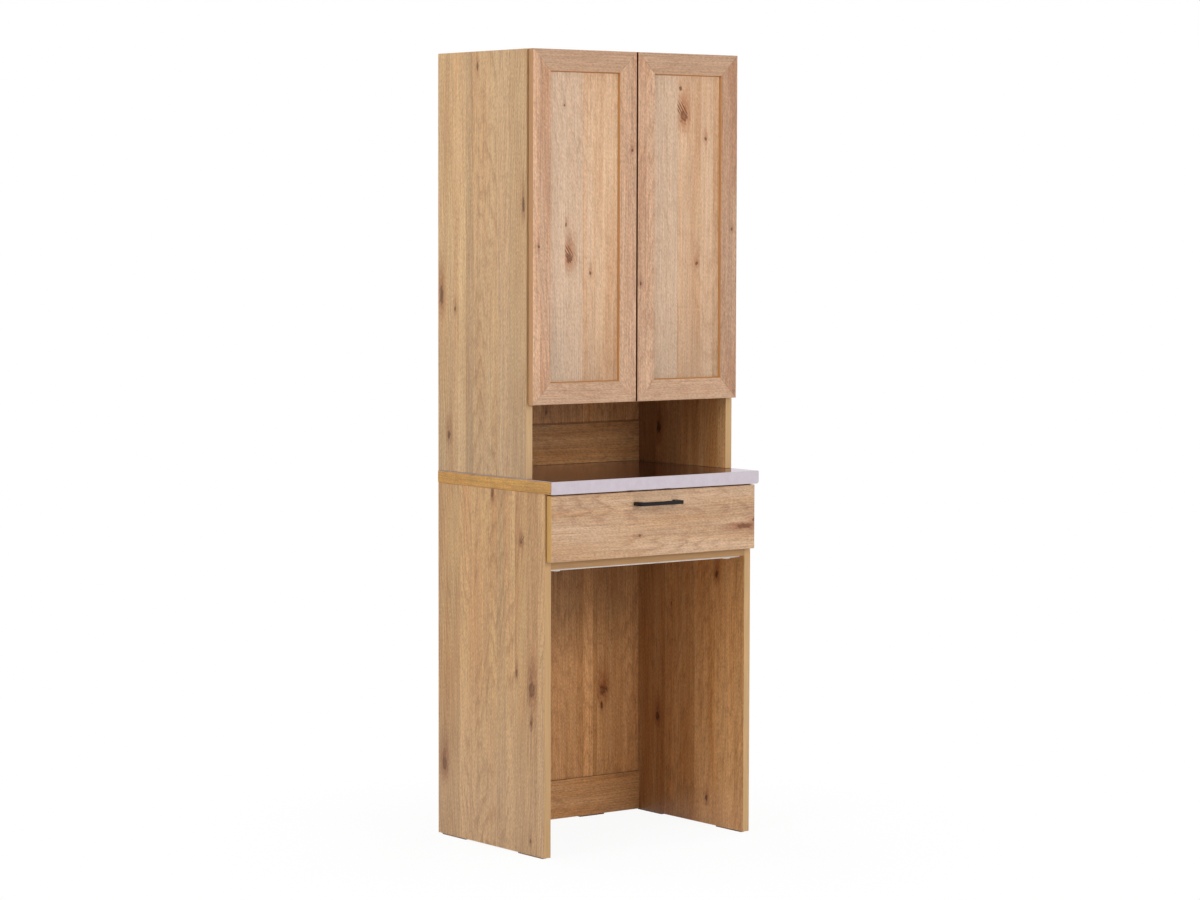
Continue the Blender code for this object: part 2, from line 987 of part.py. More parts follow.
def handle_outline():
    """Across the drawer, and out from its face: a bar on two feet that widen to the face."""
    half = handle_length / 2
    corner = (half - handle_corner, handle_reach - handle_corner)
    hollow_half = half - handle_foot_width
    hollow_top = handle_reach - handle_bar_thick
    hollow = (hollow_half - handle_hollow, hollow_top - handle_hollow)
    right = [(half, touch)]
    right += arc(corner, handle_corner, 0, 90, 4)
    inner = arc(hollow, handle_hollow, 90, 0, 6) + [(hollow_half, touch)]
    left = [(-x, out) for x, out in reversed(right)]
    inner_left = [(-x, out) for x, out in reversed(inner)]
    return right + left + inner_left + inner


def drawer_handle(drawer):
    outline = handle_outline()
    face = y_at(lower_depth + drawer_gap + front_thick)
    middle = deck_top + drawer_front_height - handle_drop
    bar = prism(
        "drawer_handle",
        outline,
        straight(outline, middle - handle_height / 2, middle + handle_height / 2),
        lambda x, out, z: (x, face - out, z),
        black_metal,
        drawer,
    )
    round_edges(bar, handle_edge, 2, math.radians(50))


sides = ((-1, "left"), (1, "right"))

upper_boards()
shelves()
for side, word in sides:
    upper_side(side, word)
    for depth, row in zip(pin_row_depths, ("rear", "front")):
        shelf_pin(side, depth, f"shelf_pin_{row}_{word}")
    door(side, word)
    lower_side(side, word)
counter()
lower_boards()
deck_stiffener()
glides()
joint_plates()

slide_front = y_at(lower_depth)
drawer_axis = axis_empty("drawer_axis", (0.0, slide_front, slide_middle_height))
middles_axis = axis_empty("slide_middles_axis", (0.0, slide_front, slide_middle_height))
for side, word in sides:
    slides(side, word, middles_axis, drawer_axis)
drawer_box(drawer_axis)
drawer_handle(drawer_axis)
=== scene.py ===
import json
import math
from functools import partial

import bmesh
import bpy
from mathutils import Matrix, Vector
from mathutils.bvhtree import BVHTree

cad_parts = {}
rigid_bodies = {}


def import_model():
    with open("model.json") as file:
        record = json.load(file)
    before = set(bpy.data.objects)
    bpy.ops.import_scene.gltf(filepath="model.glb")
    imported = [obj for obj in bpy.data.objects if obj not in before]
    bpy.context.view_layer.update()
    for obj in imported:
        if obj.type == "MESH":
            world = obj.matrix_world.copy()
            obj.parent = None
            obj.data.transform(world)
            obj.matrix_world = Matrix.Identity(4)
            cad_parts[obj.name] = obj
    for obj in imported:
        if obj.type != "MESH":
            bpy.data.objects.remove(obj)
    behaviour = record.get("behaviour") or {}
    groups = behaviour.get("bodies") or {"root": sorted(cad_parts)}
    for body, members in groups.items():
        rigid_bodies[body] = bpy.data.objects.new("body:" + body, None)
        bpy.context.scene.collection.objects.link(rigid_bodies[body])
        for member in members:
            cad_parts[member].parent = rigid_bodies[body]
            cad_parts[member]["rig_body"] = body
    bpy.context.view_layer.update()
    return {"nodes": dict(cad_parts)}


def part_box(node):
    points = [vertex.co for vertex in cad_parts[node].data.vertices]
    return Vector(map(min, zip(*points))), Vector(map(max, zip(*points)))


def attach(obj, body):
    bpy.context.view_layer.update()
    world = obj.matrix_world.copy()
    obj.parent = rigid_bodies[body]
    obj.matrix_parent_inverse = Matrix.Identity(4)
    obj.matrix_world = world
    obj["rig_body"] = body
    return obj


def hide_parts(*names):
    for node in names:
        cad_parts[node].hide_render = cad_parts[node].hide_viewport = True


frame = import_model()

nodes = frame["nodes"]
print("frame loaded with", len(nodes), "nodes")

# lengths in the dictionaries are in millimetres unless a note says otherwise
mm = 0.001
# for a Map Range that eases in and out
smooth = {"interpolation_type": "SMOOTHSTEP"}


def colour(code):
    # an sRGB hex code as linear red, green and blue
    parts = [int(code[i:i + 2], 16) / 255 for i in (0, 2, 4)]
    return (*[c / 12.92 if c <= 0.04045 else ((c + 0.055) / 1.055) ** 2.4 for c in parts], 1.0)


def addNode(tree, kind, inputs=(), **settings):
    # kind may end in an operation. Inputs are listed in the order of those in use, or keyed
    # by name or number in it. Each is a constant, a socket, a node, whose first output in use
    # is linked, or a list of these.
    kind, _, operation = kind.partition(" ")
    made = tree.nodes.new(kind if "Node" in kind else "ShaderNode" + kind)
    for name, value in settings.items():
        setattr(made, name, value)
    if operation:
        made.operation = operation
    used = [socket for socket in made.inputs if socket.enabled]
    named = {socket.name: socket for socket in reversed(used)}
    for key, value in inputs.items() if isinstance(inputs, dict) else enumerate(inputs):
        socket = used[key] if isinstance(key, int) else named[key]
        for item in value if isinstance(value, list) else [value]:
            if isinstance(item, bpy.types.Node):
                item = next(output for output in item.outputs if output.enabled)
            if isinstance(item, bpy.types.NodeSocket):
                tree.links.new(item, socket)
            else:
                socket.default_value = item
    return made


def newGroup(name, kind, inputs, outputs):
    # inputs and outputs are {kind of value: names of its sockets}
    tree = bpy.data.node_groups.new(name, kind)
    for side, sockets in (("INPUT", inputs), ("OUTPUT", outputs)):
        for value, labels in sockets.items():
            for label in labels:
                tree.interface.new_socket(label, in_out=side, socket_type="NodeSocket" + value)
    add = partial(addNode, tree)
    return tree, add, add("NodeGroupInput").outputs


def newMaterial(name):
    made = bpy.data.materials.new(name)
    made.use_nodes = True
    made.node_tree.nodes.clear()
    return made, partial(addNode, made.node_tree)


def setFinish(node, finish):
    nodes[node].data.materials.clear()
    nodes[node].data.materials.append(finish)


def addObject(name, data):
    made = bpy.data.objects.new(name, data)
    bpy.context.scene.collection.objects.link(made)
    return made


# Camera at the photograph's viewing angle: place and farthest in metres, angles in degrees

cameraView = {
    "place": (-4.920, -6.490, 1.464),
    "turn": 37.153,
    "down": 3.904,
    "roll": 0.142,
    "lens": 104.63,
    "farthest": 100,
}


def makeCamera(view):
    data = bpy.data.cameras.new("camera")
    data.lens = view["lens"]
    data.clip_end = view["farthest"]
    camera = addObject("camera", data)
    turn = Matrix.Rotation(-math.radians(view["turn"]), 4, "Z")
    tilt = Matrix.Rotation(math.radians(90 - view["down"]), 4, "X")
    roll = Matrix.Rotation(math.radians(view["roll"]), 4, "Z")
    camera.matrix_world = Matrix.Translation(view["place"]) @ turn @ tilt @ roll
    bpy.context.scene.camera = camera


makeCamera(cameraView)

# Studio: soft lamps in front and at the left, others behind, at the right and above.
# Places and sizes are in metres, powers in watts.

studio = {
    "ambient": 0.15,
    "floorPaint": "F2F2F2",
    "floorRoughness": 0.9,
    # the share of plain white in the floor, up to the fade's first distance from the middle;
    # the rest is its shadow, and from the second distance on it is all white
    "floorShare": 0.93,
    "floorFade": (0.35, 1.1),
    "floorSize": 40.0,
    "aim": (0.0, 0.0, 0.95),
    "lampSize": 2.6,
    "lamps": {
        "front": ((0.9, -4.5, 2.5), 111),
        "left": ((-4.6, -0.9, 2.5), 119),
        "right": ((4.8, 0.6, 2.3), 100),
        "rear": ((-0.8, 4.8, 2.3), 112),
        "above": ((-0.4, -0.8, 5.2), 60),
    },
}


def seenRay(add):
    # 1 where the camera sees the surface itself or in metal and glass, 0 for its light
    path = add("LightPath").outputs
    seen = path["Is Camera Ray"]
    for ray in ("Is Glossy Ray", "Is Transmission Ray"):
        seen = add("Math MAXIMUM", [seen, path[ray]])
    return seen


def makeWorld(look):
    world = bpy.data.worlds.new("studio")
    world.use_nodes = True
    world.node_tree.nodes.clear()
    add = partial(addNode, world.node_tree)
    strength = add("Mix", {"Factor": seenRay(add), "A": look["ambient"], "B": 1.0})
    background = add("Background", {"Color": colour("FFFFFF"), "Strength": strength})
    add("OutputWorld", {"Surface": background})
    bpy.context.scene.world = world


def makeFloor(look):
    # studio paint: rolled on flat, so that only the object's soft shadow shows on it
    made, add = newMaterial("matt white studio paint")
    values = {"Base Color": colour(look["floorPaint"]), "Roughness": look["floorRoughness"]}
    paint = add("BsdfPrincipled", values)
    glow = add("Emission", {"Color": colour("FFFFFF"), "Strength": 1.0})
    place = add("TexCoord").outputs["Object"]
    away = add("VectorMath LENGTH", [place])
    near, far = look["floorFade"]
    values = {"Value": away, "From Min": near, "From Max": far, "To Min": look["floorShare"], "To Max": 1.0}
    share = add("MapRange", values, **smooth)
    amount = add("Math MULTIPLY", [share, seenRay(add)])
    add("OutputMaterial", {"Surface": add("MixShader", [amount, paint, glow])})
    half = look["floorSize"] / 2
    mesh = bpy.data.meshes.new("floor")
    corners = [(-half, -half, 0), (half, -half, 0), (half, half, 0), (-half, half, 0)]
    mesh.from_pydata(corners, [], [(0, 1, 2, 3)])
    mesh.materials.append(made)
    floor = addObject("floor", mesh)


def makeLamps(look):
    for name, (place, power) in look["lamps"].items():
        data = bpy.data.lights.new(name, "AREA")
        data.shape = "SQUARE"
        data.size = look["lampSize"]
        data.energy = power
        lamp = addObject(name, data)
        toward = Vector(look["aim"]) - Vector(place)
        turn = toward.to_track_quat("-Z", "Y").to_matrix().to_4x4()
        lamp.matrix_world = Matrix.Translation(place) @ turn
        lamp.visible_camera = False
        lamp.visible_glossy = False


makeWorld(studio)
makeFloor(studio)
makeLamps(studio)
bpy.context.scene.view_settings.view_transform = "Standard"
print("studio ready")

# The oak print. A face is measured in mm across and along the grain and through the board.

printColours = ("Light", "Warm", "Grey", "Dark", "Knot", "Mark")
knotMarks = ("Shift", "Heart", "Stain", "Cracks", "Glints")

oakPrint = {
    "ringWidth": 6.5,
    # how deep the middle of the rings lies, for a seed of 0 and more for each 1 of it
    "ringDepth": 14.0,
    "seedDepth": 60.0,
    # how far apart in its noises two seeds of 0 and 1 lie
    "seedStep": (311, 173, 97),
    # how the rings' middle goes deeper along the board, as a share of the length and in mm
    "taper": 0.09,
    "ripple": 18.0,
    # by how many rings their count wavers
    "uneven": 2.0,
    # where in a ring, as a share of it, the dark late wood starts, is full and ends
    "lateWood": (0.45, 0.88, 1.0),
    # how far the grain wanders aside, where a board doesn't say it, and curls
    "wander": 9.0,
    "curl": 1.5,
    # how far the leaning noises go aside, as a share of their way up
    "lean": 0.18,
    # size across, along and through in mm, detail and roughness; the wood bends with the
    # first two, and what follows is carried along by them. Flecks and pores are drawn about
    # eight times as wide as real ones, which a view of the whole cupboard would lose.
    "noises": {
        "wander": (70, 520, 60, 1.0, 0.5),
        "curl": (55, 210, 30, 1.0, 0.5),
        "ripple": (60, 380, 40, 1.0, 0.5),
        "uneven": (17, 230, 30, 2.0, 0.5),
        "rings": (55, 260, 30, 1.0, 0.5),
        "streak": (3, 560, 5, 2.0, 0.6),
        "band": (13, 760, 12, 2.0, 0.5),
        "fibre": (2.2, 120, 3, 2.0, 0.6),
        "drift": (30, 420, 30, 2.0, 0.5),
        "hue": (22, 460, 24, 2.0, 0.5),
        "mineral": (3.5, 300, 8, 2.0, 0.55),
        "fleck": (2.3, 7, 4, 1.0, 0.5),
        "pore": (1.7, 12, 3, 1.0, 0.5),
        "ray": (3, 8, 6, 1.0, 0.5),
        "mottle": (7, 20, 8, 3.0, 0.6),
    },
    # which of them lean aside as they run up
    "leaning": ("fleck", "pore", "ray", "mottle"),
    # where each patch starts and is full, as noise values
    "levels": {
        "rings": (0.36, 0.6),
        "pore": (0.54, 0.7),
        "ray": (0.58, 0.72),
        "drift": (0.28, 0.72),
        "hue": (0.32, 0.68),
        "mineral": (0.60, 0.78),
        "mottle": (0.30, 0.62),
    },
    # which colour each adds to the light one, and how much of it
    "tints": {
        "drift": ("Warm", 1.0),
        "greyness": ("Grey", 1.0),
        "hue": ("Grey", 0.28),
        "ring": ("Dark", 0.28),
        "mineral": ("Dark", 0.28),
        "pore": ("Dark", 0.22),
        "ray": ("Light", 0.24),
        "glints": ("Light", 0.7),
    },
    # how far each makes the wood lighter and darker
    "shades": {"streak": 0.50, "band": 0.22, "fibre": 0.90, "fleck": 0.95},
    # how much lighter a plank with a tone of 1 is than one with a tone of 0
    "toneSpan": 0.5,
    # how strong a full stain is, and how much of it isn't mottled
    "stainShare": 0.8,
    "stainEven": 0.6,
    "heartShare": 0.78,
    "crackShare": 0.85,
}


def oakPrintGroup(look):
    # the rings are those of a cone lying tilted under the face, which gives flat-sawn oak
    # its arches near the middle and straight lines beside them
    numbers = ("Centre", "Seed", "Wander", "Tone", "Greyness", "Figure", "Contrast")
    tree, add, given = newGroup(
        "oak print",
        "ShaderNodeTree",
        {"Vector": ["Face"], "Float": [*numbers, *knotMarks], "Color": printColours},
        {"Color": ["Color"], "Float": ["Pores", "Fibres"]},
    )
    face = add("SeparateXYZ", [given["Face"]]).outputs
    start = add("VectorMath MULTIPLY", [given["Seed"], look["seedStep"]])
    bent = add("Math ADD", [face[0], given["Shift"]])
    carrier, leaned, noise = given["Face"], None, {}
    for name, (across, along, through, detail, rough) in look["noises"].items():
        scale = (1 / across, 1 / along, 1 / through)
        source = leaned if name in look["leaning"] else carrier
        scaled = add("VectorMath MULTIPLY", [source, scale])
        moved = add("VectorMath ADD", [scaled, start])
        noise[name] = add("TexNoise", {"Vector": moved, "Scale": 1.0, "Detail": detail, "Roughness": rough})
        if name in ("wander", "curl"):
            amount = given["Wander"] if name == "wander" else look["curl"]
            bent = add("Math MULTIPLY_ADD", [noise[name], amount, bent])
            carrier = add("CombineXYZ", [bent, face[1], face[2]])
            lean = add("Math MULTIPLY_ADD", [face[1], look["lean"], bent])
            leaned = add("CombineXYZ", [lean, face[1], face[2]])
    for name, (low, high) in look["levels"].items():
        noise[name] = add("MapRange", {"Value": noise[name], "From Min": low, "From Max": high}, **smooth)

    aside = add("Math SUBTRACT", [bent, given["Centre"]])
    depth = look["ringDepth"]
    for source, name in ((given["Seed"], "seedDepth"), (face[1], "taper"), (noise["ripple"], "ripple")):
        depth = add("Math MULTIPLY_ADD", [source, look[name], depth])
    place = add("CombineXYZ", [aside, depth])
    radius = add("VectorMath LENGTH", [place])
    count = add("Math MULTIPLY", [radius, 1 / look["ringWidth"]])
    count = add("Math MULTIPLY_ADD", [noise["uneven"], look["uneven"], count])
    phase = add("Math FRACT", [count])
    begin, full, end = look["lateWood"]
    late = add("MapRange", {"Value": phase, "From Min": begin, "From Max": full}, **smooth)
    fall = add("MapRange", {"Value": phase, "From Min": end, "From Max": full})
    for share in (fall, given["Figure"], noise["rings"]):
        late = add("Math MULTIPLY", [late, share])

    noise |= {"ring": late, "glints": given["Glints"], "greyness": given["Greyness"]}
    wood = given["Light"]
    for name, (tint, share) in look["tints"].items():
        amount = add("Math MULTIPLY", [noise[name], share])
        wood = add("Mix", {"Factor": amount, "A": wood, "B": given[tint]}, data_type="RGBA")
    shade = 0.0
    for name, span in look["shades"].items():
        # a noise's middle is 0.5
        centred = add("Math SUBTRACT", [noise[name], 0.5])
        shade = add("Math MULTIPLY_ADD", [centred, span, shade])
    light = add("Math MULTIPLY_ADD", [shade, given["Contrast"], 1.0])
    span = look["toneSpan"]
    tone = add("Math MULTIPLY_ADD", [given["Tone"], span, 1 - span / 2])
    light = add("Math MULTIPLY", [light, tone])
    wood = add("VectorMath MULTIPLY", [wood, light])
    even = look["stainEven"]
    mottle = add("Math MULTIPLY_ADD", [noise["mottle"], 1 - even, even])
    stain = add("Math MULTIPLY", [given["Stain"], look["stainShare"]])
    stain = add("Math MULTIPLY", [stain, mottle])
    values = {"Factor": stain, "A": wood, "B": given["Mark"]}
    wood = add("Mix", values, data_type="RGBA", blend_type="MULTIPLY")
    heart = add("Math MULTIPLY", [given["Heart"], look["heartShare"]])
    crack = add("Math MULTIPLY", [given["Cracks"], look["crackShare"]])
    dark = add("Math MAXIMUM", [heart, crack])
    wood = add("Mix", {"Factor": dark, "A": wood, "B": given["Knot"]}, data_type="RGBA")
    add("NodeGroupOutput", {"Color": wood, "Pores": noise["pore"], "Fibres": noise["fibre"]})
    return tree


oakKnot = {
    # the noise of uneven outlines: how far it leans, its scale per mm across, along and
    # through, its detail and roughness, and how far it moves an outline, in knot sizes
    "noiseLean": 0.4,
    "noiseScale": (0.24, 0.05, 0.1),
    "noiseDetail": 3.0,
    "noiseRoughness": 0.65,
    "swell": 2.2,
    # what the pushed grain and the stain add to a knot's stretch, upwards and downwards
    "stretchUp": 2.0,
    "stretchDown": 0.5,
    # how much of its distance aside the grain is pushed, and by which power of the distance
    # this fades
    "push": 0.5,
    "pushPower": -2.0,
    # a heart up to the first size is wholly dark, and a stain from the second on is full; the
    # larger a heart and hollow are beyond that, the paler its core
    "smallHeart": 8.5,
    "fullStain": 6.0,
    "hollow": 1.5,
    "crackSpacing": 7.5,
    "crackWave": 1.6,
    # middle of the strip of cracks, in knot sizes
    "crackMiddle": 0.4,
    # which measure each follows, where it has faded out and where it is full: a line's in
    # shares of the crack spacing from its middle, all others in knot sizes
    "fades": {
        "heart": ("heart", 1.05, 0.65),
        "core": ("heart", 0.7, 0.2),
        "stain": ("stain", 2.9, 0.2),
        "side": ("side", 1.5, 0.9),
        "foot": ("height", 0.3, 0.8),
        "head": ("height", 3.4, 2.2),
        "lines": ("line", 0.27, 0.12),
        "glints": ("line", 0.30, 0.44),
    },
}


def oakKnotGroup(look):
    # a knot pushes the grain round itself, has a dark heart, stains the wood about it, and
    # where Lean is above 0 it has fine cracks running up and aside from it. All of it ends at
    # its plank's edges, which are From and To.
    tree, add, given = newGroup(
        "oak knot",
        "ShaderNodeTree",
        {"Vector": ["Face", "Rough", "Place"], "Float": ["Size", "Stretch", "Lean", "From", "To"]},
        {"Float": knotMarks},
    )
    size = given["Size"]
    offset = add("VectorMath SUBTRACT", [given["Face"], given["Place"]])
    aside, up, _ = add("SeparateXYZ", [offset]).outputs
    # the noise, about 0.5, gives heart and stain their uneven outlines
    noise = add("VectorMath SUBTRACT", [given["Rough"], (0.5,) * 3])
    swell = add("Math MULTIPLY", [size, look["swell"]])
    swell = add("VectorMath SCALE", {0: noise, "Scale": swell})
    uneven = add("VectorMath ADD", [offset, swell])
    measure = {}
    for name, source, higher, lower in (
        ("push", offset, look["stretchUp"], look["stretchUp"]),
        ("heart", uneven, 0.0, 0.0),
        ("stain", uneven, look["stretchUp"], look["stretchDown"]),
    ):
        across, along, _ = add("SeparateXYZ", [source]).outputs
        height = 0.0
        for half, longer in (("MAXIMUM", higher), ("MINIMUM", lower)):
            part = add("Math " + half, [along, 0.0])
            length = add("Math ADD", [given["Stretch"], longer])
            part = add("Math DIVIDE", [part, length])
            height = add("Math ADD", [part, height])
        place = add("CombineXYZ", [across, height])
        span = add("VectorMath LENGTH", [place])
        measure[name] = add("Math DIVIDE", [span, size])
    shift = add("Math MAXIMUM", [measure["push"], 1.0])
    shift = add("Math POWER", [shift, look["pushPower"]])
    for share in (-look["push"], aside):
        shift = add("Math MULTIPLY", [shift, share])

    # the cracks are slanted lines in a strip above the knot
    wave = add("SeparateXYZ", [noise]).outputs[2]
    leaned = add("Math MULTIPLY_ADD", [up, given["Lean"], aside])
    side = add("Math DIVIDE", [leaned, size])
    side = add("Math SUBTRACT", [side, look["crackMiddle"]])
    measure["side"] = add("Math ABSOLUTE", [side])
    measure["height"] = add("Math DIVIDE", [up, size])
    line = add("Math MULTIPLY_ADD", [wave, look["crackWave"], leaned])
    line = add("Math DIVIDE", [line, look["crackSpacing"]])
    measure["line"] = add("Math PINGPONG", [line, 0.5])
    fade = {}
    for name, (followed, empty, full) in look["fades"].items():
        values = {"Value": measure[followed], "From Min": empty, "From Max": full}
        fade[name] = add("MapRange", values, **smooth)
    strip = add("Math GREATER_THAN", [given["Lean"], 0.0])
    for name in ("side", "foot", "head"):
        strip = add("Math MULTIPLY", [strip, fade[name]])
    darkness = add("Math DIVIDE", [look["smallHeart"], size])
    darkness = add("Math MINIMUM", [darkness, 1.0])
    paler = add("Math SUBTRACT", [1.0, darkness])
    for share in (look["hollow"], fade["core"]):
        paler = add("Math MULTIPLY", [paler, share])
    solid = add("Math SUBTRACT", [1.0, paler])
    strength = add("Math DIVIDE", [size, look["fullStain"]])
    strength = add("Math MINIMUM", [strength, 1.0])

    across = add("SeparateXYZ", [given["Face"]]).outputs[0]
    after = add("Math GREATER_THAN", [across, given["From"]])
    before = add("Math LESS_THAN", [across, given["To"]])
    inside = add("Math MULTIPLY", [after, before])
    marks = {}
    for mark, value, amount in (
        ("Shift", shift, 1.0),
        ("Heart", fade["heart"], solid),
        ("Stain", fade["stain"], strength),
        ("Cracks", fade["lines"], strip),
        ("Glints", fade["glints"], strip),
    ):
        value = add("Math MULTIPLY", [value, amount])
        marks[mark] = add("Math MULTIPLY", [value, inside])
    add("NodeGroupOutput", marks)
    return tree


printTree = oakPrintGroup(oakPrint)
knotTree = oakKnotGroup(oakKnot)

# Oak-printed melamine: a picture of knotty oak is pressed under clear resin on chipboard, so
# the figure lies flat under an even satin sheen, with only faint pressed pores. The sides
# have a yellow-tan print and the fronts a pinker one; edges are covered by a yellower strip.

# the printed colours in the order of printColours
decors = {
    "upper": ("CFAC7E", "C4996B", "C09F7D", "8A5C31", "523210", "B58456"),
    "lower": ("C69E6B", "B98856", "B8946D", "835426", "5C3404", "AC743C"),
    "stile": ("D1A889", "C08E6C", "C4A386", "965F3E", "45200F", "B27A55"),
    "panel": ("D7B28F", "C7976E", "CEB299", "98683F", "542805", "BE7E40"),
    "drawer": ("D0AD8C", "C0956E", "C2A387", "93613F", "6A3A1C", "AE6F48"),
    # back and wall, for the faces seen inside the bay and niche, are lighter and redder than the outside
    # prints, partly as painted light of the warm light bounced about inside
    "back": ("D2A16E", "BF864F", "B9895B", "7D4C22", "33190A", "A56A3A"),
    "wall": ("D5A774", "BD834A", "B98D5D", "7F5027", "33190A", "A56C3C"),
    "edge": ("C8954A", "B27C33", "B08443", "8C5F29", "5A3C1E", "A9783C"),
}

oakGloss = {"roughness": (0.40, 0.46), "poreDepth": 0.10, "bumpShare": 0.4}

# an edge strip has fine grain only; turn is where a face ends and where its edge does, as
# the face's share of the normal
edgeStrip = {"turn": (0.5, 0.6), "grain": 0.4, "level": 0.8}

# the back of a back panel is bare hardboard, pressed from wet fibres against a mesh, which
# leaves it brown and matted; its clumps, with a scale per mm, are drawn about four times as
# coarse as real ones
hardboard = {
    "shade": "8C6A4A",
    "turn": 0.5,
    "clumps": {"Scale": 0.09, "Detail": 6.0, "Roughness": 0.8},
    "grain": 1.4,
    "level": 0.3,
}


def sumKnots(add, look, sides, face):
    # what all knots of a board do together; sides are the sockets that make up its face
    across, along, through = sides
    leaned = add("Math MULTIPLY_ADD", [along, oakKnot["noiseLean"], across])
    leaned = add("CombineXYZ", [leaned, along, through])
    scaled = add("VectorMath MULTIPLY", [leaned, oakKnot["noiseScale"]])
    values = {"Vector": scaled, "Scale": 1.0, "Detail": oakKnot["noiseDetail"],
              "Roughness": oakKnot["noiseRoughness"]}
    rough = add("TexNoise", values).outputs["Color"]
    upward = look.get("upward", 1)
    turned = add("VectorMath MULTIPLY", [face, (1, upward, 1)])
    edges = [start for start, *_ in look["planks"]] + [look["width"][1] + 1]
    total = dict.fromkeys(knotMarks, 0.0)
    for across, along, size, stretch, *lean in look.get("knots", ()):
        values = {"Face": turned, "Rough": rough, "Place": (across, upward * along, 0), "Size": size,
                  "Stretch": stretch, "Lean": lean[0] if lean else 0,
                  "From": max(edge for edge in edges if edge <= across),
                  "To": min(edge for edge in edges if edge > across)}
        knot = add("Group", values, node_tree=knotTree).outputs
        for mark, others in total.items():
            joined = "ADD" if mark == "Shift" else "MAXIMUM"
            total[mark] = add("Math " + joined, [knot[mark], others])
    return total


def oak(name, look):
    # look: its decor; the axes across, along and through the face; width, its extent across in
    # mm; planks as (start in mm, then shares for tone, ring centre, seed, greyness); knots as
    # (across, along, size in mm, stretch, and the lean of its cracks, if any); upward, -1
    # where stains run down or left; figure and contrast, how strong the rings and all other
    # grain are; wander, how far the grain wanders; strips, the colours of the edges' strip,
    # each from its distance in mm out from the middle of the front, some of them darkened as
    # painted shade; paintedShadowLines, dark lines of painted shadow on the face as (height of
    # the middle, half width in mm, share); paintedShading, painted light and shade that makes
    # the print lighter, darker or greyer between two heights in mm, as shares added to the
    # planks' tone and greyness
    made, add = newMaterial(name)
    tints = {label: colour(code) for label, code in zip(printColours, decors[look["decor"]])}
    coords = add("TexCoord").outputs
    normal = add("SeparateXYZ", [coords["Normal"]]).outputs
    place = add("VectorMath MULTIPLY", [coords["Object"], (1 / mm,) * 3])
    axes = add("SeparateXYZ", [place]).outputs
    sides = [axes[letter] for letter in look["axes"]]
    face = add("CombineXYZ", sides)
    low, high = look["width"]
    share = add("MapRange", {"Value": sides[0], "From Min": low, "From Max": high})
    ramp = add("ValToRGB", [share])
    ramp.color_ramp.interpolation = "CONSTANT"
    points = ramp.color_ramp.elements
    points.remove(points[1])
    for start, *values in look["planks"]:
        position = (start - low) / (high - low)
        point = points.new(position) if position else points[0]
        point.color = values
    plank = add("SeparateColor", [ramp.outputs["Color"]]).outputs
    centre = add("MapRange", {"Value": plank[1], "To Min": 2 * low - high, "To Max": 2 * high - low})
    seed = add("Math ADD", [plank[2], look["seed"]])
    tone, greyness = plank[0], ramp.outputs["Alpha"]
    # painted light and shade: the planks' tone and greyness change between two heights
    for start, end, lighter, greyer in look.get("paintedShading", ()):
        way = add("MapRange", {"Value": axes["Z"], "From Min": start, "From Max": end})
        tone = add("Math MULTIPLY_ADD", [way, lighter, tone])
        greyness = add("Math MULTIPLY_ADD", [way, greyer, greyness])
    values = {"Face": face, "Centre": centre, "Seed": seed, "Tone": tone, "Greyness": greyness,
              "Wander": look.get("wander", oakPrint["wander"]), "Figure": look.get("figure", 1.0),
              "Contrast": look.get("contrast", 1.0), **tints, **sumKnots(add, look, sides, face)}
    figure = add("Group", values, node_tree=printTree).outputs
    shown = figure["Color"]
    # dark lines of painted shadow, such as a rail's shadow on the panel above it
    for height, reach, darkness in look.get("paintedShadowLines", ()):
        near = add("Math COMPARE", [axes["Z"], height, reach])
        near = add("Math MULTIPLY", [near, darkness])
        shown = add("Mix", {"Factor": near, "A": shown, "B": tints["Dark"]}, data_type="RGBA")
    if "strips" in look:
        turned = add("Math ABSOLUTE", [normal[look["axes"][2]]])
        low, high = edgeStrip["turn"]
        flat = add("MapRange", {"Value": turned, "From Min": low, "From Max": high})
        out = add("Math ABSOLUTE", [axes["X"]])
        # the first colour starts in the middle, at 0, so it leaves nothing of this one
        strip = tints["Light"]
        for start, code in look["strips"]:
            before = add("Math LESS_THAN", [out, start])
            strip = add("Mix", {"Factor": before, "A": colour(code), "B": strip}, data_type="RGBA")
        light = add("Math MULTIPLY_ADD", [figure["Fibres"], edgeStrip["grain"], edgeStrip["level"]])
        strip = add("VectorMath MULTIPLY", [strip, light])
        shown = add("Mix", {"Factor": flat, "A": strip, "B": shown}, data_type="RGBA")
    if look.get("bareRear"):
        behind = add("Math GREATER_THAN", [normal["Y"], hardboard["turn"]])
        felt = add("TexNoise", {"Vector": place, **hardboard["clumps"]})
        light = add("Math MULTIPLY_ADD", [felt, hardboard["grain"], hardboard["level"]])
        board = add("VectorMath MULTIPLY", [colour(hardboard["shade"])[:3], light])
        shown = add("Mix", {"Factor": behind, "A": shown, "B": board}, data_type="RGBA")
    values = {"Strength": oakGloss["bumpShare"], "Distance": oakGloss["poreDepth"] * mm,
              "Height": figure["Pores"]}
    bump = add("Bump", values, invert=True)
    low, high = oakGloss["roughness"]
    gloss = add("MapRange", {"Value": figure["Fibres"], "To Min": low, "To Max": high})
    shader = add("BsdfPrincipled", {"Base Color": shown, "Roughness": gloss, "Normal": bump})
    add("OutputMaterial", {"Surface": shader})
    return made


# Each oak finish with the nodes it covers. Planks and knots lie where the photograph shows
# them, in mm in the cupboard's own frame, and the unseen ones are made up.

